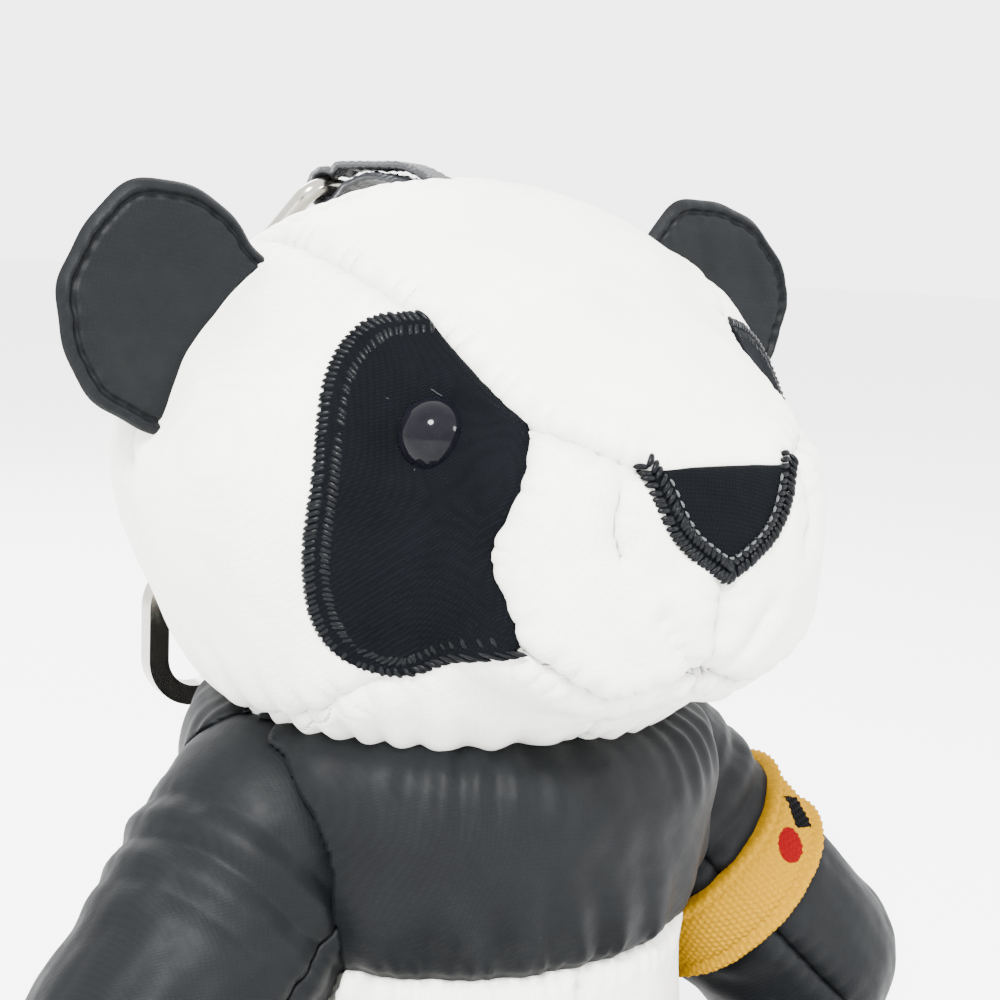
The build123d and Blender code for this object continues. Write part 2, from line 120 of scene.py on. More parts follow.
# ---------------------------------------------------------------- meshes
def make_piece(name, points, faces, material, body, thickness=0.0, smooth=True, seam_shade=None):
    """A mesh in millimetres, turned into a piece that rides on a body. Its seam marks are painted shade,
    which darkens its colour along the seams.
    """
    mesh = bpy.data.meshes.new(name)
    mesh.from_pydata((np.asarray(points) * MM).tolist(), [], np.asarray(faces).tolist())
    mesh.polygons.foreach_set("use_smooth", [smooth] * len(mesh.polygons))
    mesh.materials.append(material)
    mesh.update()
    if seam_shade is not None:
        # Painted shade along the seams, kept for the cloth's colour.
        layer = mesh.attributes.new("seam", "FLOAT", "POINT")
        layer.data.foreach_set("value", np.asarray(seam_shade, np.float32))
    piece = bpy.data.objects.new(name, mesh)
    bpy.context.scene.collection.objects.link(piece)
    if thickness:
        shell = piece.modifiers.new("thickness", "SOLIDIFY")
        shell.thickness = thickness * MM
        shell.offset = -1
        bpy.context.view_layer.objects.active = piece
        bpy.ops.object.modifier_apply(modifier=shell.name)
    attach(piece, body)
    return piece


def grid_faces(rows, columns, wrap_rows=False, wrap_columns=False):
    """Faces of a grid of points that is stored row by row."""
    row = np.arange(rows if wrap_rows else rows - 1)[:, None]
    column = np.arange(columns if wrap_columns else columns - 1)[None, :]
    next_row, next_column = (row + 1) % rows, (column + 1) % columns
    corners = [row * columns + column, row * columns + next_column,
               next_row * columns + next_column, next_row * columns + column]
    return np.stack(corners, axis=-1).reshape(-1, 4)


def pick(points, faces, chosen):
    """The part of a mesh that has the chosen faces."""
    kept = faces[chosen]
    used, renumbered = np.unique(kept, return_inverse=True)
    return points[used], renumbered.reshape(kept.shape), used


def unit(vectors):
    vectors = np.asarray(vectors, float)
    return vectors / np.maximum(np.linalg.norm(vectors, axis=-1, keepdims=True), 1e-9)


def lumps(points, size, seed):
    """Smooth uneven numbers from -1 to 1, with lumps of about this size."""
    draw = np.random.default_rng(seed)
    total = np.zeros(points.shape[:-1])
    for _ in range(9):
        way = unit(draw.normal(size=3))
        turns = 2 * math.pi / (size * draw.uniform(0.7, 1.6))
        total += np.sin(points @ way * turns + draw.uniform(0, 2 * math.pi))
    return total / 4.5


def resample(points, step):
    """Points at equal steps along a line of points."""
    points = np.asarray(points, float)
    spans = np.linalg.norm(np.diff(points, axis=0), axis=1)
    run = np.concatenate([[0], np.cumsum(spans)])
    count = max(2, int(round(run[-1] / step)) + 1)
    places = np.linspace(0, run[-1], count)
    return np.stack([np.interp(places, run, points[:, i]) for i in range(points.shape[1])], axis=1)


def smooth_line(points, count=16):
    """A smooth line through points."""
    points = np.asarray(points, float)
    padded = np.vstack([2 * points[0] - points[1], points, 2 * points[-1] - points[-2]])
    share = np.linspace(0, 1, count, endpoint=False)[:, None]
    runs = []
    for a, b, c, d in zip(padded, padded[1:], padded[2:], padded[3:]):
        runs.append(0.5 * (2 * b + (c - a) * share + (2 * a - 5 * b + 4 * c - d) * share ** 2
                           + (3 * b - a - 3 * c + d) * share ** 3))
    return np.vstack(runs + [points[-1:]])


def bent(start, middle, end, count=24):
    """An arc from start to end that passes through middle."""
    return smooth_line([start, middle, end], count)


class Seams:
    """Sewn lines on a surface, and how far any point is from them."""

    def __init__(self):
        self.points, self.run, self.depth = [], [], []

    def add(self, line, depth=1.0):
        line = resample(line, 0.35)
        start = self.run[-1] + 50 if self.run else 0
        self.points += line.tolist()
        self.run += (start + np.arange(len(line)) * 0.35).tolist()
        self.depth += [depth] * len(line)

    def near(self, points):
        """Distance to the nearest seam, the place along it, and its depth."""
        tree = kdtree.KDTree(len(self.points))
        for i, point in enumerate(self.points):
            tree.insert(point, i)
        tree.balance()
        found = [tree.find(point) for point in points.tolist()]
        index = np.array([hit[1] for hit in found])
        return np.array([hit[2] for hit in found]), np.array(self.run)[index], np.array(self.depth)[index]

    def relief(self, points):
        """How far sewn fabric stands out, as a groove, rolls and puckers, and the painted shade laid along
        its seams.
        """
        distance, run, depth = self.near(points)
        groove = -0.95 * np.exp(-(distance / 0.75) ** 2)
        roll = 0.28 * np.exp(-((distance - 2.4) / 1.5) ** 2)
        beat = np.sin(run * 2 * math.pi / 2.3 + 1.4 * np.sin(run * 0.9) + 0.35 * distance)
        pucker = 0.17 * beat * np.exp(-((distance - 1.1) / 1.5) ** 2)
        # Painted shade: darker along each seam's groove, in dashes at the stitches' pitch, and faintly beside
        # it.
        stitch = 0.35 + 0.65 * (np.sin(run * 2 * math.pi / 1.9) > -0.2)
        groove_shade = 0.75 * stitch * np.exp(-(distance / 0.42) ** 2) + 0.14 * np.exp(-(distance / 1.6) ** 2)
        return depth * (groove + roll + pucker), depth * groove_shade


# ---------------------------------------------------------------- materials
def node_material(name, colour, roughness, metallic=0.0):
    """A material with one plain shader, for the layers to be added to."""
    material = bpy.data.materials.new(name)
    material.use_nodes = True
    tree = material.node_tree
    shader = tree.nodes["Principled BSDF"]
    shader.inputs["Base Color"].default_value = (*colour, 1)
    shader.inputs["Roughness"].default_value = roughness
    shader.inputs["Metallic"].default_value = metallic
    return material, tree, shader


def add_node(tree, kind, settings=None, inputs=None):
    """A node with its settings, and its inputs linked or set."""
    made = tree.nodes.new(kind)
    for key, value in (settings or {}).items():
        setattr(made, key, value)
    for key, value in (inputs or {}).items():
        if isinstance(value, bpy.types.NodeSocket):
            tree.links.new(value, made.inputs[key])
        else:
            made.inputs[key].default_value = value
    return made


def place_output(tree):
    """Places on the object, in metres."""
    return add_node(tree, "ShaderNodeTexCoord").outputs["Object"]


def noise_output(tree, place, size, detail=3.0, stretch=None):
    """Noise with features of this size in millimetres."""
    if stretch:
        place = add_node(tree, "ShaderNodeMapping", inputs={"Vector": place, "Scale": stretch}).outputs[0]
    made = add_node(tree, "ShaderNodeTexNoise", inputs={
        "Vector": place, "Scale": 1 / (size * MM), "Detail": detail, "Roughness": 0.6})
    return made.outputs["Fac"]


def ramp_output(tree, value, stops):
    """Colours chosen along a value."""
    made = add_node(tree, "ShaderNodeValToRGB", inputs={"Fac": value})
    ramp = made.color_ramp
    while len(ramp.elements) < len(stops):
        ramp.elements.new(0.5)
    for element, (place, colour) in zip(ramp.elements, stops):
        element.position = place
        element.color = (*colour, 1)
    return made.outputs["Color"]


def rib_output(tree, place, rib, turn):
    """Fine woven ribs of this spacing in millimetres, turned about the view from the front."""
    turned = add_node(tree, "ShaderNodeMapping", inputs={"Vector": place, "Rotation": (0.3, turn, 0.2)})
    wave = add_node(tree, "ShaderNodeTexWave", {"wave_type": "BANDS", "bands_direction": "DIAGONAL"}, {
        "Vector": turned.outputs[0], "Scale": 0.314 / (rib * MM), "Distortion": 1.2, "Detail": 1.0,
        "Detail Scale": 2.0})
    return wave.outputs["Fac"]


def bumped(tree, shader, layers):
    """Stacks bumps, each an output and its height in millimetres."""
    normal = None
    for output, height in layers:
        inputs = {"Height": output, "Distance": height * MM, "Strength": 1.0}
        if normal:
            inputs["Normal"] = normal
        normal = add_node(tree, "ShaderNodeBump", inputs=inputs).outputs["Normal"]
    tree.links.new(normal, shader.inputs["Normal"])


def cloth(name, pale, dark, roughness, rib, sheen, sheen_tint, rib_height=0.03, crinkle=0.12, gloss=0.5):
    """Woven cloth: ribs, a crinkled surface, colour that is a little uneven and rubbed, and painted shade
    along its seams.
    """
    material, tree, shader = node_material(name, pale, roughness)
    place = place_output(tree)
    ribs = rib_output(tree, place, rib, 0.7)
    cross = rib_output(tree, place, rib * 1.15, -0.8)
    weave = add_node(tree, "ShaderNodeMath", {"operation": "MULTIPLY"}, {0: ribs, 1: cross}).outputs[0]
    broad = noise_output(tree, place, 9.0)
    fine = noise_output(tree, place, 1.3, 5.0)
    middle = tuple((a + b) / 2 for a, b in zip(pale, dark))
    worn = ramp_output(tree, broad, [(0.3, dark), (0.52, middle), (0.72, pale)])
    threads = ramp_output(tree, weave, [(0.0, dark), (0.6, pale)])
    colour = add_node(tree, "ShaderNodeMix", {"data_type": "RGBA", "blend_type": "MIX"}, {
        "Factor": 0.45, "A": worn, "B": threads})
    # Painted shade: along the seams the colour darkens towards a quarter of the dark tone.
    seam = add_node(tree, "ShaderNodeAttribute", {"attribute_name": "seam"}).outputs["Fac"]
    shaded = add_node(tree, "ShaderNodeMix", {"data_type": "RGBA", "blend_type": "MIX"}, {
        "Factor": seam, "A": colour.outputs["Result"], "B": (*tuple(0.25 * c for c in dark), 1)})
    tree.links.new(shaded.outputs["Result"], shader.inputs["Base Color"])
    rough = add_node(tree, "ShaderNodeMapRange", inputs={
        "Value": fine, "To Min": roughness - 0.08, "To Max": roughness + 0.12})
    tree.links.new(rough.outputs[0], shader.inputs["Roughness"])
    shader.inputs["Specular IOR Level"].default_value = gloss
    shader.inputs["Sheen Weight"].default_value = sheen
    shader.inputs["Sheen Roughness"].default_value = 0.4
    shader.inputs["Sheen Tint"].default_value = (*sheen_tint, 1)
    bumped(tree, shader, [(noise_output(tree, place, 4.5, 2.0), crinkle), (fine, crinkle * 0.35),
                          (weave, rib_height)])
    return material


def metal(name, colour, roughness, streak):
    """Plated metal with fine scratches and smudges."""
    material, tree, shader = node_material(name, colour, roughness, 1.0)
    place = place_output(tree)
    scratches = noise_output(tree, place, 0.5, 4.0, (1.0, 1.0, streak))
    smudge = noise_output(tree, place, 4.0)
    tone = ramp_output(tree, smudge, [(0.3, tuple(0.82 * c for c in colour)), (0.7, colour)])
    tree.links.new(tone, shader.inputs["Base Color"])
    rough = add_node(tree, "ShaderNodeMapRange", inputs={
        "Value": scratches, "To Min": roughness * 0.6, "To Max": roughness * 1.8})
    tree.links.new(rough.outputs[0], shader.inputs["Roughness"])
    bumped(tree, shader, [(scratches, 0.006)])
    return material


def plastic(name, colour, roughness):
    """Smooth plastic with a little dust on it."""
    material, tree, shader = node_material(name, colour, roughness)
    place = place_output(tree)
    dust = noise_output(tree, place, 0.8, 6.0)
    tone = ramp_output(tree, dust, [(0.35, colour), (0.85, tuple(c * 1.5 + 0.001 for c in colour))])
    tree.links.new(tone, shader.inputs["Base Color"])
    rough = add_node(tree, "ShaderNodeMapRange", inputs={
        "Value": dust, "To Min": roughness, "To Max": roughness + 0.1})
    tree.links.new(rough.outputs[0], shader.inputs["Roughness"])
    bumped(tree, shader, [(noise_output(tree, place, 3.0), 0.01)])
    return material


def painted_knit(name):
    """Yarn whose colour comes from the mesh: yellow, with the dot and the diamond, and painted shade in the
    knit's hollows.
    """
    material, tree, shader = node_material(name, (0.9, 0.5, 0.01), 0.8)
    place = place_output(tree)
    yarn_colour_and_shade = add_node(tree, "ShaderNodeAttribute", {"attribute_name": "yarn_colour_and_shade"}).outputs["Color"]
    fuzz = noise_output(tree, place, 0.16, 4.0)
    shade = ramp_output(tree, fuzz, [(0.25, (0.72, 0.72, 0.72)), (0.7, (1.0, 1.0, 1.0))])
    colour = add_node(tree, "ShaderNodeMix", {"data_type": "RGBA", "blend_type": "MULTIPLY"}, {
        "Factor": 1.0, "A": yarn_colour_and_shade, "B": shade})
    tree.links.new(colour.outputs["Result"], shader.inputs["Base Color"])
    shader.inputs["Specular IOR Level"].default_value = 0.03
    bumped(tree, shader, [(fuzz, 0.05)])
    return material


white_satin = cloth("white_satin", (0.74, 0.735, 0.69), (0.62, 0.615, 0.57), 0.5, 0.3, 0.05, (1, 1, 1),
                    0.016, 0.08)
black_satin = cloth("black_satin", (0.0030, 0.0037, 0.0044), (0.0014, 0.0017, 0.0021), 0.54, 0.26, 0.003,
                    (0.75, 0.85, 1.0), 0.008, 0.10, 0.08)
black_velvet = cloth("black_velvet", (0.0022, 0.0026, 0.0034), (0.0009, 0.0011, 0.0015), 0.85, 0.24, 0.003,
                     (0.45, 0.6, 0.9), 0.05, 0.06, 0.03)
black_thread = cloth("black_thread", (0.0026, 0.0031, 0.004), (0.0012, 0.0014, 0.0018), 0.34, 0.2, 0.002,
                     (0.7, 0.8, 1.0), 0.02, 0.02, 0.07)
pale_thread = cloth("pale_thread", (0.022, 0.025, 0.029), (0.010, 0.012, 0.014), 0.5, 0.2, 0.2,
                    (1, 1, 1), 0.02, 0.02)
label_cloth = cloth("label_tape", (0.93, 0.93, 0.93), (0.80, 0.80, 0.80), 0.45, 0.3, 0.2,
                    (1, 1, 1), 0.03, 0.04)
tape_cloth = cloth("black_tape", (0.014, 0.015, 0.018), (0.005, 0.0055, 0.007), 0.45, 0.4, 0.02,
                   (0.8, 0.85, 1.0), 0.06, 0.03, 0.4)
filling_cloth = cloth("filling_cloth", (0.9, 0.9, 0.9), (0.75, 0.75, 0.75), 0.8, 0.5, 0.3,
                      (1, 1, 1), 0.05, 0.2)
lint_fibre = cloth("lint_fibre", (0.02, 0.024, 0.03), (0.012, 0.014, 0.018), 0.6, 0.2, 0.4,
                   (1, 1, 1), 0.01, 0.01)
eye_plastic = plastic("eye_plastic", (0.002, 0.002, 0.003), 0.03)
eye_plastic.node_tree.nodes["Principled BSDF"].inputs["IOR"].default_value = 1.16
washer_plastic = plastic("washer_plastic", (0.7, 0.7, 0.7), 0.4)
chrome = metal("hardware_chrome", (0.34, 0.32, 0.28), 0.16, 0.3)
steel = metal("hardware_steel", (0.26, 0.255, 0.25), 0.28, 0.1)
knit = painted_knit("yellow_knit")


# ---------------------------------------------------------------- head form
cheek_place = head_half_width - cheek_radius
bulge_drop = (cheek_place ** 2 - (head_radius - cheek_radius) ** 2) / (2 * (head_radius - cheek_radius))
bulge_radius = head_radius + bulge_drop


def ball_like(points, middle, radii, squareness):
    """About how far points are outside a rounded form."""
    away = points - middle
    size = (np.abs(away / radii) ** squareness).sum(axis=-1) ** (1 / squareness)
    size = np.maximum(size, 1e-6)
    return np.linalg.norm(away, axis=-1) * (1 - 1 / size)


def melt(a, b, blend):
    """Two forms melted into each other."""
    share = np.clip(0.5 + 0.5 * (b - a) / blend, 0, 1)
    return b * (1 - share) + a * share - blend * share * (1 - share)


def head_distance(points):
    """How far points, from the head's centre, are outside the stuffed head."""
    side = np.abs(points[..., 0]) * (1 + 0.05 * np.clip(points[..., 2] / 16, 0, 1))
    height = np.where(points[..., 2] > 0, points[..., 2] * head_radius / crown_height, points[..., 2])
    ring = np.hypot(points[..., 1], height)
    bulge = np.hypot(side, ring + bulge_drop) - bulge_radius
    cheek = np.hypot(side - cheek_place, ring) - cheek_radius
    head = np.where(side * bulge_drop < cheek_place * (ring + bulge_drop), bulge, cheek)
    muzzle = ball_like(points, muzzle_middle, muzzle_radii, muzzle_squareness)
    muzzle = melt(muzzle, ball_like(points, bridge_middle, bridge_radii, 2.2), 4.0)
    jowl = ball_like(points, jowl_middle, jowl_radii, 2.2)
    return melt(melt(head, muzzle, muzzle_blend), jowl, jowl_blend)


def head_normal(points, step=0.05):
    """The outward direction of the head's surface at points."""
    slopes = [head_distance(points + step * axis) - head_distance(points - step * axis) for axis in np.eye(3)]
    return unit(np.stack(slopes, axis=-1))


def meet_head(start, way, near, far):
    """Where lines from inside the head leave it."""
    inside = np.full(start.shape[:-1], float(near))
    outside = np.full(start.shape[:-1], float(far))
    for _ in range(30):
        middle = (inside + outside) / 2
        out = head_distance(start + way * middle[..., None]) > 0
        outside, inside = np.where(out, middle, outside), np.where(out, inside, middle)
    return start + way * ((inside + outside) / 2)[..., None]


def on_face(flat):
    """Points of the head's front, from x and height."""
    flat = np.asarray(flat, float)
    start = np.stack([flat[..., 0], np.zeros(flat.shape[:-1]), flat[..., 1]], axis=-1)
    return meet_head(start, np.array([0.0, -1.0, 0.0]), 0, 60)


def mirrored(points, side):
    """Face points for the panda's left (1) or right (-1) side."""
    return [(side * x, z) for x, z in points]


def lower_side(side):
    """The eye patch's hollow inner edge, from the cheek corner down."""
    corner, inner, low = mirrored([gusset_cheek, patch_inner, patch_low], side)
    return bent(corner, inner, low)


def head_seams():
    """Every sewn line of the head."""
    seams = Seams()
    for side in (1, -1):
        top, brow, cheek, nose, low, chin = mirrored(
            [gusset_top, gusset_brow, gusset_cheek, nose_corner, patch_low, chin_corner], side)
        seams.add(on_face(resample([top, brow, cheek], 0.4)), 1.0)
        seams.add(on_face(resample([cheek, nose], 0.4)), 1.15)
        seams.add(on_face(lower_side(side)), 0.9)
        mouth = bent(low, (side * mouth_side[0], mouth_side[1]), mouth_middle)
        seams.add(on_face(mouth), 1.25)
        seams.add(on_face(resample([low, chin, (side * 24, -24.5)], 0.4)), 0.6)
        tuck = [(side * 9.6, 2.2), (side * 10.4, -1.0), (side * 9.8, -3.6)]
        seams.add(on_face(smooth_line(tuck)), 0.7)
    seams.add(on_face(resample([nose_tip, (0, -25)], 0.4)), 0.9)
    turn = np.linspace(-0.5 * math.pi, 0.5 * math.pi, 240)
    crown = np.stack([np.sin(turn), 0 * turn, np.cos(turn)], axis=1)
    seams.add(meet_head(np.zeros((240, 3)), crown, 5, 60), 0.8)
    back = np.stack([0 * turn, np.cos(turn), np.sin(turn)], axis=1)
    seams.add(meet_head(np.zeros((240, 3)), back, 5, 60), 0.8)
    return seams


def cube_ball(count):
    """Directions spread evenly over a ball, and the faces between them."""
    step = np.tan(np.linspace(-math.pi / 4, math.pi / 4, count))
    across, up = np.meshgrid(step, step, indexing="ij")
    one = np.ones_like(across)
    sides = [(one, across, up), (-one, up, across), (up, one, across), (across, -one, up),
             (across, up, one), (up, across, -one)]
    points = np.concatenate([np.stack(side, axis=-1).reshape(-1, 3) for side in sides])
    faces = np.concatenate([grid_faces(count, count) + i * count ** 2 for i in range(6)])
    points = unit(points)
    _, first, merged = np.unique(np.round(points, 5), axis=0, return_index=True, return_inverse=True)
    return points[first], merged.reshape(-1)[faces]


def inside_outline(flat, corners):
    """Whether points of the front view are inside an outline."""
    inside = np.zeros(len(flat), bool)
    x, z = flat[:, 0], flat[:, 1]
    for (x0, z0), (x1, z1) in zip(corners, corners[1:] + corners[:1]):
        crosses = (z0 > z) != (z1 > z)
        inside ^= crosses & (x < (x1 - x0) * (z - z0) / (z1 - z0 + 1e-12) + x0)
    return inside


def head_panels(middles):
    """The name of the panel that each face of the head belongs to."""
    flat = middles[:, [0, 2]]
    folded = np.stack([np.abs(flat[:, 0]), flat[:, 1]], axis=1)
    side = np.where(middles[:, 0] > 0, "left", "right")
    gusset = [(-1, 60), (24, 60), gusset_top, gusset_brow, gusset_cheek, nose_corner, (-1, nose_corner[1])]
    muzzle = [(-1, nose_corner[1]), nose_corner, gusset_cheek, *map(tuple, lower_side(1)),
              mouth_side, (-1, mouth_middle[1])]
    chin = [(-1, mouth_middle[1]), mouth_side, patch_low, chin_corner, (24, -60), (-1, -60)]
    names = np.char.add("cheek_panel_", side)
    names = np.where(inside_outline(folded, chin), np.char.add("chin_panel_", side), names)
    names = np.where(inside_outline(folded, muzzle), np.char.add("muzzle_panel_", side), names)
    names = np.where(inside_outline(folded, gusset), "forehead_gusset", names)
    return np.where(middles[:, 1] > 0, np.char.add("head_back_", side), names)


def head_lumps(points):
    """The stuffing's unevenness, and the dimple that each eye pulls in."""
    lift = 0.30 * lumps(points, 17, 1) + 0.08 * lumps(points, 6, 2)
    for side in (1, -1):
        eye = on_face(np.array([[side * eye_place[0], eye_place[1]]]))[0]
        away = np.linalg.norm(points - eye, axis=-1)
        lift -= 0.9 * np.exp(-(away / 5.0) ** 2)
    return lift


def make_head():
    """The stuffed head, cut along its seams into the panels it is sewn from."""
    ways, faces = cube_ball(168)
    points = meet_head(np.zeros_like(ways), ways, 5, 60)
    normal = head_normal(points)
    # The seams' relief, and the painted shade along them for the covers' colour.
    lift, seam_shade = head_seams().relief(points)
    lift += head_lumps(points)
    low = np.clip((-points[:, 2] - 12) / 12, 0, 1)
    angle = np.arctan2(points[:, 1], points[:, 0])
    lift += 0.35 * low * np.sin(angle * 38 + 2 * np.sin(angle * 5))
    for side in (1, -1):
        fold = on_face(smooth_line([(side * 5.5, -9.0), (side * 2.8, -12.5), (side * 0.6, -14.0)]))
        away = np.min(np.linalg.norm(points[:, None, :] - fold[None, ::6, :], axis=2), axis=1)
        lift += -0.55 * np.exp(-(away / 1.0) ** 2) + 0.35 * np.exp(-((away - 2.2) / 1.1) ** 2)
    flat = points[:, [0, 2]]
    for side in (1, -1):
        outer, inner = patch_edges(side)
        covered = inside_outline(flat, [tuple(point) for point in np.vstack([outer, inner[::-1]])])
        lift = np.where(covered & (points[:, 1] < 0), np.minimum(lift, head_lumps(points)) - 0.45, lift)
    nose = [nose_corner, nose_side, nose_tip, *mirrored([nose_side, nose_corner], -1)]
    covered = inside_outline(flat, nose)
    lift = np.where(covered & (points[:, 1] < 0), np.minimum(lift, head_lumps(points)) - 0.3, lift)
    points = points + normal * lift[:, None]
    panels = head_panels(points[faces].mean(axis=1))
    for name in sorted(set(panels)):
        corners, sides, used = pick(points, faces, panels == name)
        piece = make_piece(f"{name}_cover", corners + head_centre, sides, white_satin, "plush",
                           skin, seam_shade=seam_shade[used])
        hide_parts(str(name))


# ---------------------------------------------------------------- sewn-on face pieces
def raised(flat, height):
    """Points over the head's front, standing off it."""
    points = on_face(flat)
    height = np.asarray(height) + head_lumps(points)
    return points + head_normal(points) * height[..., None] + head_centre


def patch_edges(side, count=130):
    """The eye patch's outer and inner edges, each from the brow to the low corner."""
    brow, low, cheek = mirrored([gusset_brow, patch_low, gusset_cheek], side)
    outer = smooth_line([brow, *mirrored(patch_outer, side), low])
    inner = np.vstack([resample([brow, cheek], 0.5), lower_side(side)[1:]])
    spread = []
    for line in (outer, inner):
        fine = resample(line, 0.05)
        spread.append(fine[np.linspace(0, len(fine) - 1, count).round().astype(int)])
    return spread


def make_patch(side, name):
    """A velvet eye patch."""
    outer, inner = patch_edges(side)
    along = unit(np.gradient(outer, axis=0))
    beside = -side * np.stack([along[:, 1], -along[:, 0]], axis=1)
    fade = np.minimum(1, np.minimum(np.arange(len(outer)), np.arange(len(outer))[::-1]) / 6)
    outer = outer + beside * (0.22 * border_width * fade)[:, None]
    share = np.linspace(0, 1, 70)[:, None, None]
    flat = inner[None] * (1 - share) + outer[None] * share
    across = share[..., 0] * np.ones(len(outer))
    height = patch_height * np.minimum(1, across / 0.06) ** 0.5 - 0.15
    eye = np.array([side * eye_place[0], eye_place[1]])
    away = np.linalg.norm(flat - eye, axis=-1)
    height -= 0.25 * np.exp(-((away - eye_radius) / 1.1) ** 2)
    height = height + 0.08 * lumps(np.dstack([flat, 0 * across]), 7, 5)
    points = raised(flat, height).reshape(-1, 3)
    faces = grid_faces(70, len(outer))
    if side > 0:
        faces = faces[:, ::-1]
    piece = make_piece(f"eye_patch_{name}_velvet", points, faces, black_velvet, "plush", 0.5)
    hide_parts(f"eye_patch_{name}")
    lint(name, flat)


def tube_faces(strands, rings, corners):
    """Faces of many tubes that are stored one after another."""
    one = grid_faces(rings, corners, wrap_columns=True)
    return np.concatenate([one + i * rings * corners for i in range(strands)])


def fat_lines(lines, up, width, height, corners=7, pinch=True):
    """Little threads: each line of points becomes a closed, tapering tube."""
    along = unit(np.gradient(lines, axis=1))
    beside = unit(np.cross(along, up))
    above = np.cross(beside, along)
    share = np.linspace(0, 1, lines.shape[1])
    taper = np.maximum(0.02, 1 - (2 * share - 1) ** 4) if pinch else np.ones(len(share))
    turn = np.linspace(0, 2 * math.pi, corners, endpoint=False)
    ring = (beside[:, :, None, :] * np.cos(turn)[:, None] * width
            + above[:, :, None, :] * np.sin(turn)[:, None] * height) * taper[None, :, None, None]
    points = lines[:, :, None, :] + ring
    return points.reshape(-1, 3), tube_faces(lines.shape[0], lines.shape[1], corners)


def lint(name, flat):
    """Pale fibres that cling to the velvet."""
    rows = chance.integers(12, 56, 40)
    columns = chance.integers(20, 108, 40)
    lines = []
    for row, column in zip(rows, columns):
        start = flat[row, column]
        turn = chance.uniform(0, 2 * math.pi)
        reach = chance.uniform(0.3, 0.9)
        bow = chance.uniform(-0.5, 0.5)
        step = np.linspace(0, 1, 7)
        x = start[0] + reach * (step * math.cos(turn) - bow * math.sin(turn) * step * (1 - step))
        z = start[1] + reach * (step * math.sin(turn) + bow * math.cos(turn) * step * (1 - step))
        lines.append(np.stack([x, z], axis=1))
    lines = np.array(lines)
    points = raised(lines, np.full(lines.shape[:2], patch_height + 0.12))
    up = head_normal(on_face(lines))
    corners, faces = fat_lines(points, up, 0.022, 0.022, 5, False)
    make_piece(f"patch_lint_{name}", corners, faces, lint_fibre, "plush")


def satin_border(name, line, outward, replaced, inside, rows=2, width=border_width):
    """Embroidery along a line of the face: slanting satin stitches side by side in rows."""
    line = resample(line, stitch_pitch)
    along = unit(np.gradient(line, axis=0))
    beside = outward * np.stack([along[:, 1], -along[:, 0]], axis=1)
    lines, row_width = [], width / rows
    for row in range(rows):
        slant = 0.55 if row % 2 else -0.55
        steps = np.linspace(-0.06, 1.06, 7)
        jitter = chance.uniform(-0.10, 0.10, len(line))
        for i, (point, side_way, ahead) in enumerate(zip(line, beside, along)):
            offset = (row + steps) * row_width - inside * width
            lean = (steps - 0.5) * slant + jitter[i]
            lines.append(point + side_way * offset[:, None] + ahead * lean[:, None])
    lines = np.array(lines)
    hump = 0.84 + 0.24 * np.sin(np.linspace(0, math.pi, 7)) + chance.uniform(-0.05, 0.05, (len(lines), 1))
    points = raised(lines, hump)
    up = head_normal(on_face(lines))
    corners, faces = fat_lines(points, up, 0.27, 0.24)
    piece = make_piece(name, corners, faces, black_thread, "plush")
    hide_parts(replaced)


def make_nose():
    """The velvet nose, its embroidered border and the running stitch inside it."""
    right, left, tip = (-nose_corner[0], nose_corner[1]), nose_corner, nose_tip
    left_side = resample(bent(left, nose_side, tip), 0.1)
    right_side = resample(bent(right, (-nose_side[0], nose_side[1]), tip), 0.1)
    pickup = np.linspace(0, len(left_side) - 1, 60).round().astype(int)
    share = np.linspace(0, 1, 60)[None, :, None]
    flat = left_side[pickup][:, None] * (1 - share) + right_side[pickup][:, None] * share
    across = share[..., 0] * np.ones((60, 1))
    down = np.linspace(0, 1, 60)[:, None] * np.ones(60)
    edge = np.minimum(np.minimum(across, 1 - across) / 0.03, down / 0.06)
    height = 0.3 + 0.6 * np.clip(edge, 0, 1) ** 0.5 + 0.5 * np.sin(math.pi * across) * (1 - down)
    points = raised(flat, height).reshape(-1, 3)
    piece = make_piece("nose_velvet", points, grid_faces(60, 60), black_velvet, "plush", 0.5)
    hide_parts("nose_patch")
    low = np.vstack([left_side, right_side[::-1][1:]])
    satin_border("nose_border_stitches", low, -1, "nose_border", 0.85)
    inner = low * 0.72 + np.array([0, 0.2])
    dashes = resample(inner, 0.9)
    lines = np.stack([dashes[:-1] * (1 - s) + dashes[1:] * s for s in np.linspace(0.12, 0.88, 5)], axis=1)
    points = raised(lines, 1.15 + 0.12 * np.sin(np.linspace(0, math.pi, 5)) * np.ones((len(lines), 1)))
    corners, faces = fat_lines(points, head_normal(on_face(lines)), 0.12, 0.10)
    make_piece("nose_stitch_line", corners, faces, pale_thread, "plush")


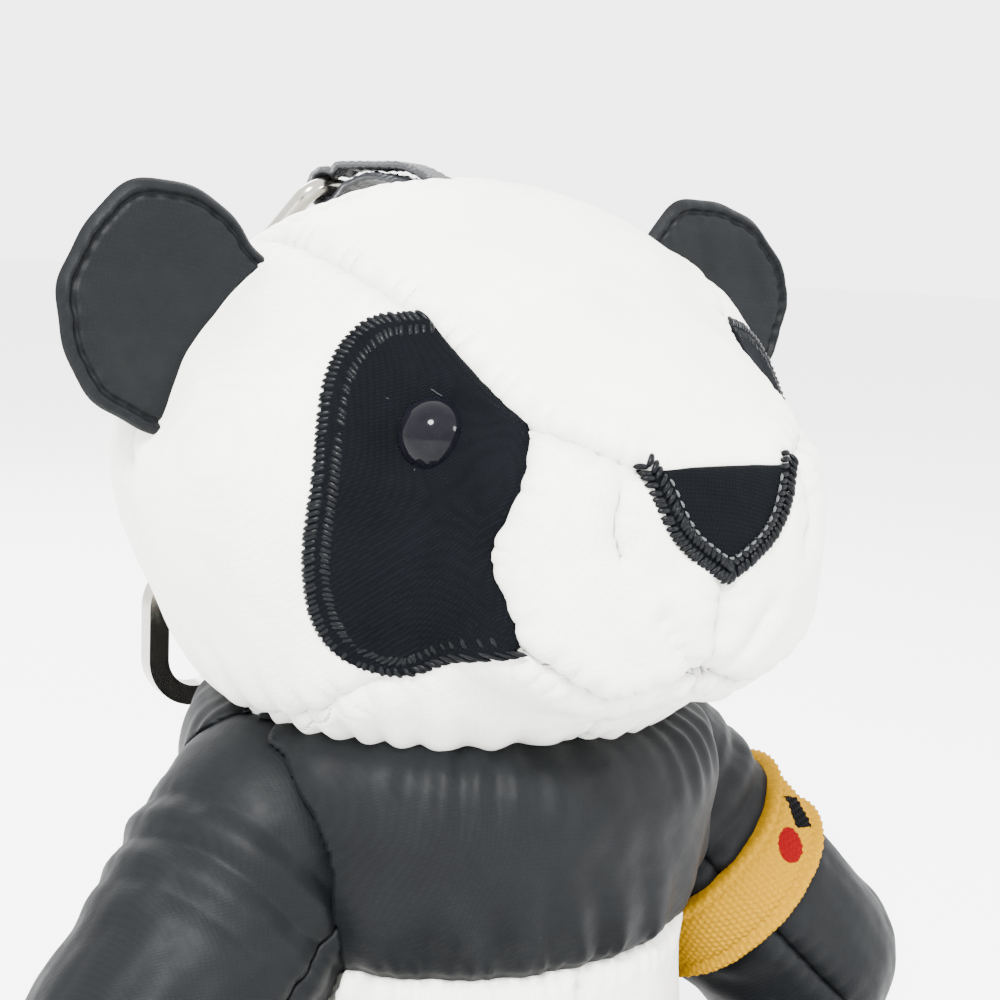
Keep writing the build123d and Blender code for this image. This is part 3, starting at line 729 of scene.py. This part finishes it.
def make_ear(side, name):
    """A flat two-layer ear with a seam ridge just inside its rim."""
    rings, spokes = 60, 160
    ear_place = ear_places[side]
    share = np.linspace(0, 1, rings)[:, None]
    turn = np.linspace(0, 2 * math.pi, spokes, endpoint=False)[None, :]
    rim = ear_radius * (1 + 0.012 * np.sin(7 * turn) + 0.008 * np.sin(13 * turn + 1))
    rim = rim * (1 + 0.09 * np.exp(-((turn - 0.62 * math.pi) / 0.5) ** 2))
    if side < 0:
        rim = rim * (1 - 0.17 * np.exp(-((turn - 0.25 * math.pi) / 0.55) ** 2))
    x = share * rim * np.cos(turn)
    z = share * rim * np.sin(turn)
    place = np.dstack([x, z, 0 * x])
    cup = 1.4 * share ** 2 * (1 + 0.3 * np.sin(2 * turn + side))
    body = 1.25 * np.sqrt(np.clip(1 - share ** 4, 0, 1)) + 0.3
    ridge = 0.26 * np.exp(-((share - 0.93) / 0.022) ** 2) - 0.42 * np.exp(-((share - 0.885) / 0.02) ** 2)
    pucker = 0.12 * np.sin(turn * 34 + 2 * np.sin(turn * 3)) * np.exp(-((share - 0.88) / 0.07) ** 2)
    fade = np.clip((1 - share) / 0.03, 0, 1) ** 0.5
    wrinkle = 0.35 * lumps(place, 7, 11) + 0.12 * lumps(place, 2.6, 12)
    for layer, way in (("front", -1), ("back", 1)):
        thick = (body + ridge + pucker + 0.6 * wrinkle) * fade
        y = -ear_forward - cup + way * thick
        points = np.dstack([side * ear_place[0] + x, y, ear_place[1] + z]).reshape(-1, 3)
        faces = grid_faces(rings, spokes, wrap_columns=True)
        faces = faces if way > 0 else faces[:, ::-1]
        piece = make_piece(f"ear_{layer}_{name}_satin", points + head_centre, faces, black_satin, "plush")
        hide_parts(f"ear_{layer}_{name}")


# ---------------------------------------------------------------- limbs
def limb_axes(pivot, direction, side, lift=0.0):
    """A limb's pivot and its own X, Y and Z: Z runs along the limb, and lift turns it up."""
    way = unit(np.array([side * direction[0], direction[1], direction[2]]))
    level = unit(np.array([way[0], way[1], 0.0]))
    hinge = np.cross(level, [0.0, 0.0, 1.0])
    turn = np.array(Matrix.Rotation(math.radians(lift), 3, Vector(hinge)))
    way = turn @ way
    return np.array(pivot), np.stack([hinge, np.cross(way, hinge), way])


def joint_place(name):
    """A joint's pivot, in millimetres."""
    return np.array(joints[name]["pos_m"]) / MM


def limb_profile(root, tip_radius, length, sole=None):
    """Distances along a limb and its radius at each, from its root ball to its tip."""
    turn = np.linspace(0, 0.5 * math.pi, 34)
    if sole is None:
        straight = np.linspace(0, length, 70)[1:]
        along = np.concatenate([-root * np.cos(turn), straight, length + tip_radius * np.sin(turn[1:])])
        radius = np.concatenate([root * np.sin(turn), root + (tip_radius - root) * straight / length,
                                 tip_radius * np.cos(turn[1:])])
    else:
        straight = np.linspace(0, length - 3, 80)[1:]
        swell = root + (tip_radius - root) * np.clip(straight / (0.35 * length), 0, 1)
        corner = 3 * np.sin(turn[1:])
        along = np.concatenate([-root * np.cos(turn), straight, length - 3 + corner])
        radius = np.concatenate([root * np.sin(turn), swell,
                                 sole + (tip_radius - sole) * np.cos(turn[1:])])
    return along, np.maximum(radius, 0.02)


def make_limb(kind, side, profile, axes, halves, replaced, folds, band=None):
    """A stuffed limb in two sewn halves, split along its sides."""
    name = "left" if side > 0 else "right"
    origin, ways = axes
    along, radius = profile
    spokes = 192
    turn = np.linspace(0, 2 * math.pi, spokes, endpoint=False)
    grid_along, grid_turn = np.meshgrid(along, turn, indexing="ij")
    base = np.stack([radius[:, None] * np.cos(turn), radius[:, None] * np.sin(turn), grid_along], axis=-1)
    from_seam = np.minimum(np.abs(np.sin(grid_turn)), 1) * radius[:, None]
    seam = -0.55 * np.exp(-(from_seam / 0.6) ** 2) + 0.22 * np.exp(-((from_seam - 2.0) / 1.2) ** 2)
    seam += 0.12 * np.sin(grid_along * 2.9) * np.exp(-(from_seam / 1.8) ** 2)
    # Painted shade along the side seams' groove, for the cloth's colour.
    seam_shade = 0.7 * np.exp(-(from_seam / 0.4) ** 2)
    open_part = np.clip((grid_along + 3) / 4, 0, 1)
    crease = np.sin(grid_along * 2 * math.pi / 4.6 + 1.3 * np.sin(grid_turn * 2 + side))
    crease = np.sign(crease) * np.abs(crease) ** 1.4 * np.exp(-((grid_along - folds[0]) / folds[1]) ** 2)
    lift = seam + 0.34 * crease + 0.30 * lumps(base, 11, 21 + side) + 0.10 * lumps(base, 3.2, 23)
    if band:
        inside = np.clip(1 - np.abs(grid_along - (band[0] + band[1] / 2)) / (band[1] / 2), 0, 1)
        squeeze = np.minimum(1, inside * 5)
        lift = lift * (1 - squeeze) - 0.3 * squeeze
        lift -= 0.25 * np.exp(-((grid_along - band[0]) / 0.8) ** 2)
        lift -= 0.25 * np.exp(-((grid_along - band[0] - band[1]) / 0.8) ** 2)
    lift = np.where(grid_along < 2, np.minimum(lift, 0.0), lift)
    rim = np.clip(radius / 4, 0, 1)[:, None] * open_part
    wide = radius[:, None] + lift * rim
    local = np.stack([wide * np.cos(turn), wide * np.sin(turn), grid_along], axis=-1)
    points = (local.reshape(-1, 3) @ ways) + origin
    points[:, 2] = np.maximum(points[:, 2], 0.05)
    faces = grid_faces(len(along), spokes, wrap_columns=True)[:, ::-1]
    middle_turn = grid_turn.reshape(-1)[faces[:, 1]]
    for half, chosen in zip(halves, (middle_turn < math.pi - 1e-6, middle_turn >= math.pi - 1e-6)):
        corners, sides, used = pick(points, faces, chosen)
        piece = make_piece(f"{kind}_{half}_{name}_satin", corners, sides, black_satin, f"{kind}_{name}",
                           0.6, seam_shade=seam_shade.reshape(-1)[used])
        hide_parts(f"{kind}_{half}_{name}", *replaced.pop(half, []))


def make_arm(side):
    """An arm, squeezed where it wears the band."""
    name = "left" if side > 0 else "right"
    axes = limb_axes(joint_place(f"arm_{name}_flex"), arm_direction, side)
    band = (band_start, band_width) if side > 0 else None
    make_limb("arm", side, limb_profile(arm_shoulder, arm_paw, arm_length), axes, ("outer", "inner"),
              {"outer": [f"arm_stuffing_{name}"]}, (7.0, 6.5), band)


def make_leg(side):
    """A leg and its sole."""
    name = "left" if side > 0 else "right"
    axes = limb_axes(joint_place(f"leg_{name}_flex"), leg_direction, side)
    make_limb("leg", side, limb_profile(leg_hip, leg_radius - 0.25, leg_length, sole_radius), axes,
              ("upper", "lower"), {"upper": [f"leg_stuffing_{name}"]}, (9.0, 7.0))
    origin, ways = axes
    rings, spokes = 30, 144
    share = np.linspace(0.002, 1, rings)[:, None]
    turn = np.linspace(0, 2 * math.pi, spokes, endpoint=False)[None, :]
    x, y = share * sole_radius * np.cos(turn), share * sole_radius * np.sin(turn)
    bulge = -0.5 * share ** 8 + 0.15 * np.sin(turn * 30) * share ** 10
    bulge = bulge + 0.12 * lumps(np.dstack([x, y, 0 * x]), 5, 31)
    points = np.dstack([x, y, leg_length + bulge]).reshape(-1, 3) @ ways + origin
    piece = make_piece(f"leg_sole_{name}_satin", points, grid_faces(rings, spokes, wrap_columns=True),
                       black_satin, f"leg_{name}", 0.8)
    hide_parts(f"leg_sole_{name}")


def make_band():
    """The knitted band: a tube of honeycomb stitches with rolled edges and a two-part motif."""
    origin, ways = limb_axes(joint_place("arm_left_flex"), arm_direction, 1)
    across, around = 84, 780
    share = np.linspace(0, 1, across)
    turn = np.linspace(0, 2 * math.pi, around, endpoint=False)
    along = band_start + band_width * share[:, None] + 0 * turn
    inner = arm_shoulder + (arm_paw - arm_shoulder) * along / arm_length + band_inside
    from_edge = np.minimum(share, 1 - share)[:, None] * band_width
    roll = 0.55 * np.exp(-((from_edge - 0.75) / 0.55) ** 2)
    valley = -0.25 * np.exp(-((from_edge - 1.75) / 0.4) ** 2)
    wave = 0.10 * np.sin(turn * 9)[None, :] + 0.06 * np.sin(turn * 23 + 1)[None, :]
    run = turn[None, :] * band_radius
    u, v = run / knit_cell * 2 * math.pi, along / knit_cell * 2 * math.pi
    honeycomb = (np.cos(u) + np.cos(0.5 * u + 0.866 * v) + np.cos(0.5 * u - 0.866 * v)) / 3
    thick = 0.95 * np.minimum(1, from_edge / 0.25) ** 0.5 + roll + valley + 0.16 * honeycomb
    outer = inner + thick
    under = np.linspace(1, 0, 8)[:, None]
    under_along = band_start + band_width * under + 0 * turn
    under_radius = arm_shoulder + (arm_paw - arm_shoulder) * under_along / arm_length + band_inside - 0.04
    all_along = np.vstack([along + wave * (1 - 2 * share[:, None]) * 0.5, under_along])
    all_radius = np.vstack([outer, under_radius + 0 * turn])
    local = np.stack([all_radius * np.cos(turn), all_radius * np.sin(turn), all_along], axis=-1)
    points = local.reshape(-1, 3) @ ways + origin
    faces = grid_faces(across + 8, around, wrap_rows=True, wrap_columns=True)[:, ::-1]
    piece = make_piece("arm_band_knit", points, faces, knit, "arm_band")
    yellow, red, black = (0.30, 0.150, 0.0001), (0.13, 0.001, 0.002), (0.0015, 0.0015, 0.002)
    colours = np.ones((points.shape[0], 4))
    colours[:, :3] = yellow
    flat_along = all_along.reshape(-1)
    motif_turn = math.atan2(ways[1] @ motif_facing, ways[0] @ motif_facing)
    flat_run = ((np.tile(turn, across + 8) - motif_turn + math.pi) % (2 * math.pi) - math.pi)
    flat_run = flat_run * band_radius
    from_middle = flat_along - band_start - band_width / 2
    dot = np.hypot(flat_run - motif_gap, from_middle) < dot_radius
    diamond = np.abs(flat_run + motif_gap) + np.abs(from_middle) < diamond_reach
    # Painted shade: the colour darkens a little in the honeycomb's hollows.
    hollow_shade = 1 - 0.35 * np.clip(-np.vstack([honeycomb, np.zeros((8, around))]).reshape(-1) - 0.05, 0, 1)
    for chosen, colour in ((dot, red), (diamond, black)):
        colours[chosen, :3] = colour
    colours[:, :3] *= hollow_shade[:, None]
    layer = piece.data.color_attributes.new("yarn_colour_and_shade", "FLOAT_COLOR", "POINT")
    layer.data.foreach_set("color", colours.reshape(-1))
    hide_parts("arm_band")


# ---------------------------------------------------------------- torso
def limb_rooms():
    """Where the limbs and the band are over their joints' range: start, way, length and two radii."""
    rooms = []
    taper = (arm_paw - arm_shoulder) / arm_length
    band_ends = (band_start, band_start + band_width)
    band_room = [arm_shoulder + taper * place + band_thickness for place in band_ends]
    for side, name in both_sides:
        for lift in (arm_lowest, 0, arm_highest):
            origin, ways = limb_axes(joint_place(f"arm_{name}_flex"), arm_direction, side, lift)
            rooms.append((origin, ways[2], arm_length, arm_shoulder, arm_paw + 0.8))
            if side > 0:
                rooms.append((origin + ways[2] * band_start, ways[2], band_width, *band_room))
        for lift in (0, leg_highest):
            origin, ways = limb_axes(joint_place(f"leg_{name}_flex"), leg_direction, side, lift)
            rooms.append((origin, ways[2], leg_length, leg_hip, leg_radius))
    return rooms


def carve(points, rooms, clearance):
    """Moves points towards the torso's axis until they clear every room."""
    points = points.copy()
    inward = -unit(points * [1, 1, 0])
    for _ in range(90):
        deep = np.zeros(len(points))
        for origin, way, length, start_radius, end_radius in rooms:
            along = np.clip((points - origin) @ way, 0, length)
            centre = origin + along[:, None] * way
            radius = start_radius + (end_radius - start_radius) * along / length + clearance
            deep = np.maximum(deep, radius - np.linalg.norm(points - centre, axis=1))
        deep = np.where(np.hypot(points[:, 0], points[:, 1]) < 3, 0, np.maximum(deep, 0))
        if deep.max() < 0.01:
            break
        points += inward * np.minimum(deep * 0.7, 0.5)[:, None]
    return points


def make_torso():
    """The yoke, belly, back and seat, with sockets for the limbs."""
    spokes = 420
    profile = smooth_line([(radius, height) for height, radius in torso_profile], 24)
    profile = resample(profile, 0.42)
    radius, height = profile[:, 0], profile[:, 1]
    turn = np.linspace(0, 2 * math.pi, spokes, endpoint=False)
    ring = radius[:, None] + 0 * turn
    points = np.stack([ring * np.cos(turn), ring * np.sin(turn), height[:, None] + 0 * turn], axis=-1)
    base = points.reshape(-1, 3)
    seams = Seams()
    circle = np.linspace(0, 2 * math.pi, 500)
    waist = np.interp(waist_height, height, radius)
    belt = np.stack([waist * np.cos(circle), waist * np.sin(circle), 0 * circle + waist_height], axis=1)
    seams.add(belt, 0.9)
    low = 16.8
    seams.add(np.stack([low * np.cos(circle), low * np.sin(circle), 0 * circle + 0.6], axis=1), 0.5)
    for angle, bottom in ((0, 0.6), (math.pi, 0.6), (0.5 * math.pi, 0.6)):
        level = np.linspace(bottom, 69, 160)
        out = np.interp(level, height, radius)
        seams.add(np.stack([out * math.cos(angle), out * math.sin(angle), level], axis=1), 0.7)
    level = np.linspace(2.0, waist_height, 120)
    out = np.interp(level, height, radius)
    seams.add(np.stack([0 * level, -out, level], axis=1), 0.8)
    # The seams' relief, and the painted shade along them for the covers' colour.
    lift, seam_shade = seams.relief(base)
    lift += 0.34 * lumps(base, 15, 41) + 0.10 * lumps(base, 4.5, 42)
    gather = np.clip((base[:, 2] - 58) / 9, 0, 1)
    angle = np.arctan2(base[:, 1], base[:, 0])
    lift += 0.5 * gather * np.sin(angle * 40 + 2.2 * np.sin(angle * 6)) * np.abs(np.sin(angle * 3 + 1))
    near_waist = np.exp(-((base[:, 2] - waist_height - 4) / 5) ** 2)
    lift += 0.3 * near_waist * np.sin(angle * 27 + 1.5 * np.sin(angle * 4) + base[:, 2] * 0.3)
    lift[base[:, 2] < 1.0] = np.minimum(lift[base[:, 2] < 1.0], 0)
    base = base + unit(base * [1, 1, 0]) * lift[:, None]
    base = carve(base, limb_rooms(), limb_gap)
    base[:, 2] = np.maximum(base[:, 2], 0.0)
    faces = grid_faces(len(height), spokes, wrap_columns=True)
    middles = base[faces].mean(axis=1)
    on_yoke = middles[:, 2] > waist_height
    front = middles[:, 1] < 0
    left = middles[:, 0] > 0
    regions = [("yoke_front", on_yoke & front, black_satin, "black_satin"),
               ("yoke_back", on_yoke & ~front, black_satin, "black_satin"),
               ("belly_panel", ~on_yoke & front, white_satin, "white_satin"),
               ("back_panel_left", ~on_yoke & ~front & left, white_satin, "white_satin"),
               ("back_panel_right", ~on_yoke & ~front & ~left, white_satin, "white_satin")]
    for name, chosen, material, slot in regions:
        corners, sides, used = pick(base, faces, chosen)
        piece = make_piece(f"{name}_cover", corners, sides, material, "plush", 0.7, seam_shade=seam_shade[used])
        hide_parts(name)
    rings = 24
    share = np.linspace(0.004, 1, rings)[:, None]
    x, y = share * radius[0] * np.cos(turn), share * radius[0] * np.sin(turn)
    bottom = np.dstack([x, y, 0.35 * (1 - share ** 6) + 0 * x]).reshape(-1, 3)
    piece = make_piece("seat_base_cover", bottom, grid_faces(rings, spokes, wrap_columns=True)[:, ::-1],
                       white_satin, "plush")
    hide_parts("seat_base")


def make_tail():
    """A round tail with one seam."""
    low, high = (np.array(corner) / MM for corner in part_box("tail"))
    radius = (high[0] - low[0]) / 2
    middle = np.array([0, high[1] - radius, (low[2] + high[2]) / 2])
    ways, faces = cube_ball(60)
    seam = -0.45 * np.exp(-(ways[:, 0] * radius / 0.5) ** 2)
    seam += 0.1 * np.sin(np.arctan2(ways[:, 2], ways[:, 1]) * 24) * np.exp(-(ways[:, 0] * radius / 1.6) ** 2)
    wide = radius + seam + 0.25 * lumps(ways * radius, 5, 51)
    piece = make_piece("tail_ball", ways * wide[:, None] + middle, faces, white_satin, "plush")
    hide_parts("tail")


def make_label():
    """A blank satin label that stands out from the left back panel, bowed a little."""
    low, high = (np.array(corner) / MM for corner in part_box("care_label"))
    facing = math.radians(label_angle)
    out = unit(np.array([math.cos(facing), math.sin(facing), 0]))
    beside = np.array([-out[1], out[0], 0])
    tall = high[2] - low[2]
    columns, rows = 60, 90
    u, v = np.meshgrid(np.linspace(0, 1, columns), np.linspace(0, 1, rows), indexing="ij")
    bow = 0.7 * np.sin(u * math.pi * 0.9) * np.cos((v - 0.5) * 2)
    along = label_reach - label_width * (1 - u)
    points = (along[..., None] * out + (0.25 + bow)[..., None] * beside
              + (low[2] + v * tall)[..., None] * np.array([0, 0, 1]))
    piece = make_piece("care_label_satin", points.reshape(-1, 3), grid_faces(columns, rows), label_cloth,
                       "plush", 0.25)
    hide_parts("care_label")


# ---------------------------------------------------------------- key hardware
def ribbon(name, path, outward, width, thick, body, replaced, closed=False):
    """A woven tape along a path, with ribs, selvedges and two lines of stitches."""
    path = resample(path, 0.16)
    if closed:
        path = path[:-1]
        along = unit(np.roll(path, -1, axis=0) - np.roll(path, 1, axis=0))
    else:
        along = unit(np.gradient(path, axis=0))
    hinge = np.array(joints["link_swing"]["axis"], float)
    above = unit(np.cross(hinge, along)) * outward
    share = np.linspace(-1, 1, 33)
    edge = np.sqrt(np.clip(1 - np.abs(share) ** 10, 0, 1))
    count = np.arange(len(path))[:, None]
    twill = 0.05 * np.sin(count * 0.9 + share * 26) + 0.06 * np.exp(-((np.abs(share) - 0.88) / 0.07) ** 2)
    stitch = 0.14 * np.exp(-((np.abs(share) - 0.62) / 0.06) ** 2) * (np.sin(count * 0.62) > -0.4)
    top = (thick / 2) * edge + twill * edge + stitch
    bottom = -(thick / 2) * edge[::-1] - twill * edge[::-1]
    beside = np.concatenate([share, share[::-1]]) * width / 2
    heights = np.concatenate([top, bottom + 0 * count], axis=1)
    points = path[:, None] + beside[None, :, None] * hinge + heights[..., None] * above[:, None]
    columns = len(beside)
    faces = grid_faces(len(path), columns, wrap_rows=closed, wrap_columns=True)
    if not closed:
        caps = [[i, i + 1, columns - 2 - i, columns - 1 - i] for i in range(len(share) - 1)]
        last = (len(path) - 1) * columns
        ends = [[last + i for i in reversed(cap)] for cap in caps]
        faces = np.concatenate([faces, caps, ends])
    if outward < 0:
        faces = np.asarray(faces)[:, ::-1]
    piece = make_piece(name, points.reshape(-1, 3), faces, tape_cloth, body)
    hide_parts(replaced)


def make_tapes():
    """The crown tape round the link's top, and the strap between the link and the swivel eye."""
    hinge = np.array(joints["link_swing"]["axis"], float)
    back = np.cross([0.0, 0.0, 1.0], hinge)
    up = np.array([0.0, 0.0, 1.0])
    top = joint_place("link_swing")
    crown = np.array([0.0, 8.0, head_centre[2]])
    reach = (top - crown) @ back
    rise = top[2] - head_centre[2]
    turn = np.linspace(math.radians(120), math.radians(-135), 40)
    upper = smooth_line([(-1.5, 27.3), (2.5, 28.9), (6.5, 29.0), (reach - 1.6, rise + 2.4)])
    ring = np.stack([reach + crown_loop * np.cos(turn), rise + crown_loop * np.sin(turn)], axis=1)
    lower = smooth_line([(reach - 2.6, rise + 0.2), (6.0, 27.8), (-1.0, 26.4)])
    flat = np.vstack([upper, ring, lower])
    path = crown + flat[:, :1] * back + flat[:, 1:] * up
    ribbon("crown_tape_woven", path, -1, tape_width, tape_thickness, "plush", "crown_tape")

    far = joint_place("strap_swing")
    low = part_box("strap")[0][2] / MM + 1.9
    over = np.linspace(0, math.pi, 30)
    high_loop = np.stack([np.cos(over), np.sin(over)], axis=1) * strap_top_loop + [0, far[2]]
    low_loop = np.stack([np.cos(over), np.sin(over)], axis=1) * -strap_low_loop + [0, low]
    left = smooth_line([(-1.8, far[2]), (-0.52, far[2] - 3.2), (-0.5, far[2] - 6.5), (-0.52, low + 3.0),
                        (-1.45, low)])
    right = smooth_line([(1.45, low), (0.52, low + 3.0), (0.5, far[2] - 6.5), (0.52, far[2] - 3.2),
                         (1.8, far[2])])
    flat = np.vstack([high_loop, left[1:], low_loop[1:], right[1:]])
    middle = np.array([far[0], far[1], 0.0])
    path = middle + flat[:, :1] * back + flat[:, 1:] * up
    ribbon("strap_woven", path, -1, tape_width, tape_thickness, "strap", "strap", closed=True)


# ---------------------------------------------------------------- what the CAD model keeps
def dress_cad():
    """Gives the CAD pieces that no modelled piece replaces their materials."""
    for node, material in {"oval_link": chrome, "clasp_body": chrome, "clasp_gate": chrome, "gate_pin": steel,
                           "gate_spring": steel, "swivel_eye": steel, "safety_eye_left": eye_plastic,
                           "safety_eye_right": eye_plastic, "eye_washer_left": washer_plastic,
                           "eye_washer_right": washer_plastic}.items():
        piece = frame["nodes"][node]
        piece.data.materials.clear()
        piece.data.materials.append(material)
        for polygon in piece.data.polygons:
            polygon.material_index = 0


def stuffing_core(name, node, body, share):
    """The filling under a cover: a lumpy ball of fibre well inside the node's space."""
    low, high = (np.array(corner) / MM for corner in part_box(node))
    ways, faces = cube_ball(24)
    reach = (high - low) / 2 * share
    points = ways * (1 + 0.04 * lumps(ways * 20, 7, 61))[:, None] * reach + (low + high) / 2
    piece = make_piece(name, points, faces, filling_cloth, body)
    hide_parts(node)


# ---------------------------------------------------------------- camera, floor and light
camera_turn, camera_rise, camera_roll = -33.4, 8.8, -2.6
camera_offset = (-3.99, 5.565)
camera_distance, camera_lens = 168.0, 57.6


def make_camera():
    """The camera, looking from the panda's front right, a little above."""
    a, e, r = (math.radians(angle) for angle in (camera_turn, camera_rise, camera_roll))
    back = np.array([math.sin(a) * math.cos(e), -math.cos(a) * math.cos(e), math.sin(e)])
    right = np.array([math.cos(a), math.sin(a), 0.0])
    up = np.cross(back, right)
    roll = np.array([[math.cos(r), -math.sin(r), 0], [math.sin(r), math.cos(r), 0], [0, 0, 1]])
    axes = roll @ np.stack([right, up, back])
    place = head_centre + axes.T @ np.array([-camera_offset[0], -camera_offset[1], camera_distance])
    data = bpy.data.cameras.new("camera")
    data.lens = camera_lens
    data.clip_start, data.clip_end = 0.005, 50
    camera = bpy.data.objects.new("camera", data)
    bpy.context.scene.collection.objects.link(camera)
    matrix = Matrix(axes.T.tolist()).to_4x4()
    matrix.translation = Vector(place * MM)
    camera.matrix_world = matrix
    bpy.context.scene.camera = camera


def make_light(name, place, size, power, target=(0, 0, 0.07)):
    """A round soft light that points at the panda."""
    data = bpy.data.lights.new(name, "AREA")
    data.shape = "DISK"
    data.size = size
    data.energy = power
    lamp = bpy.data.objects.new(name, data)
    bpy.context.scene.collection.objects.link(lamp)
    lamp.location = place
    lamp.rotation_mode = "QUATERNION"
    lamp.rotation_quaternion = (Vector(target) - Vector(place)).to_track_quat("-Z", "Y")


def make_stage():
    """Floor, world and lights."""
    floor_material, tree, shader = node_material("floor_paper", (0.9, 0.9, 0.9), 0.9)
    grain = noise_output(tree, place_output(tree), 2.0)
    tone = ramp_output(tree, grain, [(0.3, (0.88, 0.88, 0.88)), (0.7, (0.92, 0.92, 0.92))])
    tree.links.new(tone, shader.inputs["Base Color"])
    mesh = bpy.data.meshes.new("floor")
    reach = 6.0
    mesh.from_pydata([(-reach, -reach, 0), (reach, -reach, 0), (reach, reach, 0), (-reach, reach, 0)], [],
                     [(0, 1, 2, 3)])
    mesh.materials.append(floor_material)
    floor = bpy.data.objects.new("floor", mesh)
    bpy.context.scene.collection.objects.link(floor)
    floor.location = (0, 0, -0.0002)
    world = bpy.data.worlds.new("studio")
    world.use_nodes = True
    background = world.node_tree.nodes["Background"]
    background.inputs["Color"].default_value = (1.0, 1.0, 1.0, 1)
    background.inputs["Strength"].default_value = 4.6
    bpy.context.scene.world = world
    make_light("key_light", (-0.35, -0.35, 0.55), 0.16, 22.0)
    make_light("fill_light", (0.30, -0.45, 0.30), 0.12, 3.0)
    make_light("rim_light", (0.10, 0.50, 0.45), 0.30, 5.0)


make_camera()
make_stage()
make_head()
for side, name in both_sides:
    make_patch(side, name)
    outer_edge = smooth_line([mirrored([gusset_brow], side)[0], *mirrored(patch_outer, side),
                              mirrored([patch_low], side)[0]])
    satin_border(f"eye_border_{name}_stitches", outer_edge, -side, f"eye_border_{name}", 0.66)
    make_ear(side, name)
    make_arm(side)
    make_leg(side)
make_nose()
make_band()
make_torso()
make_tail()
make_label()
make_tapes()
dress_cad()
stuffing_core("head_fibre", "head_stuffing", "plush", 0.6)
stuffing_core("body_fibre", "body_stuffing", "plush", 0.55)
stuffing_core("pellet_pouch", "pellet_bag", "plush", 0.7)
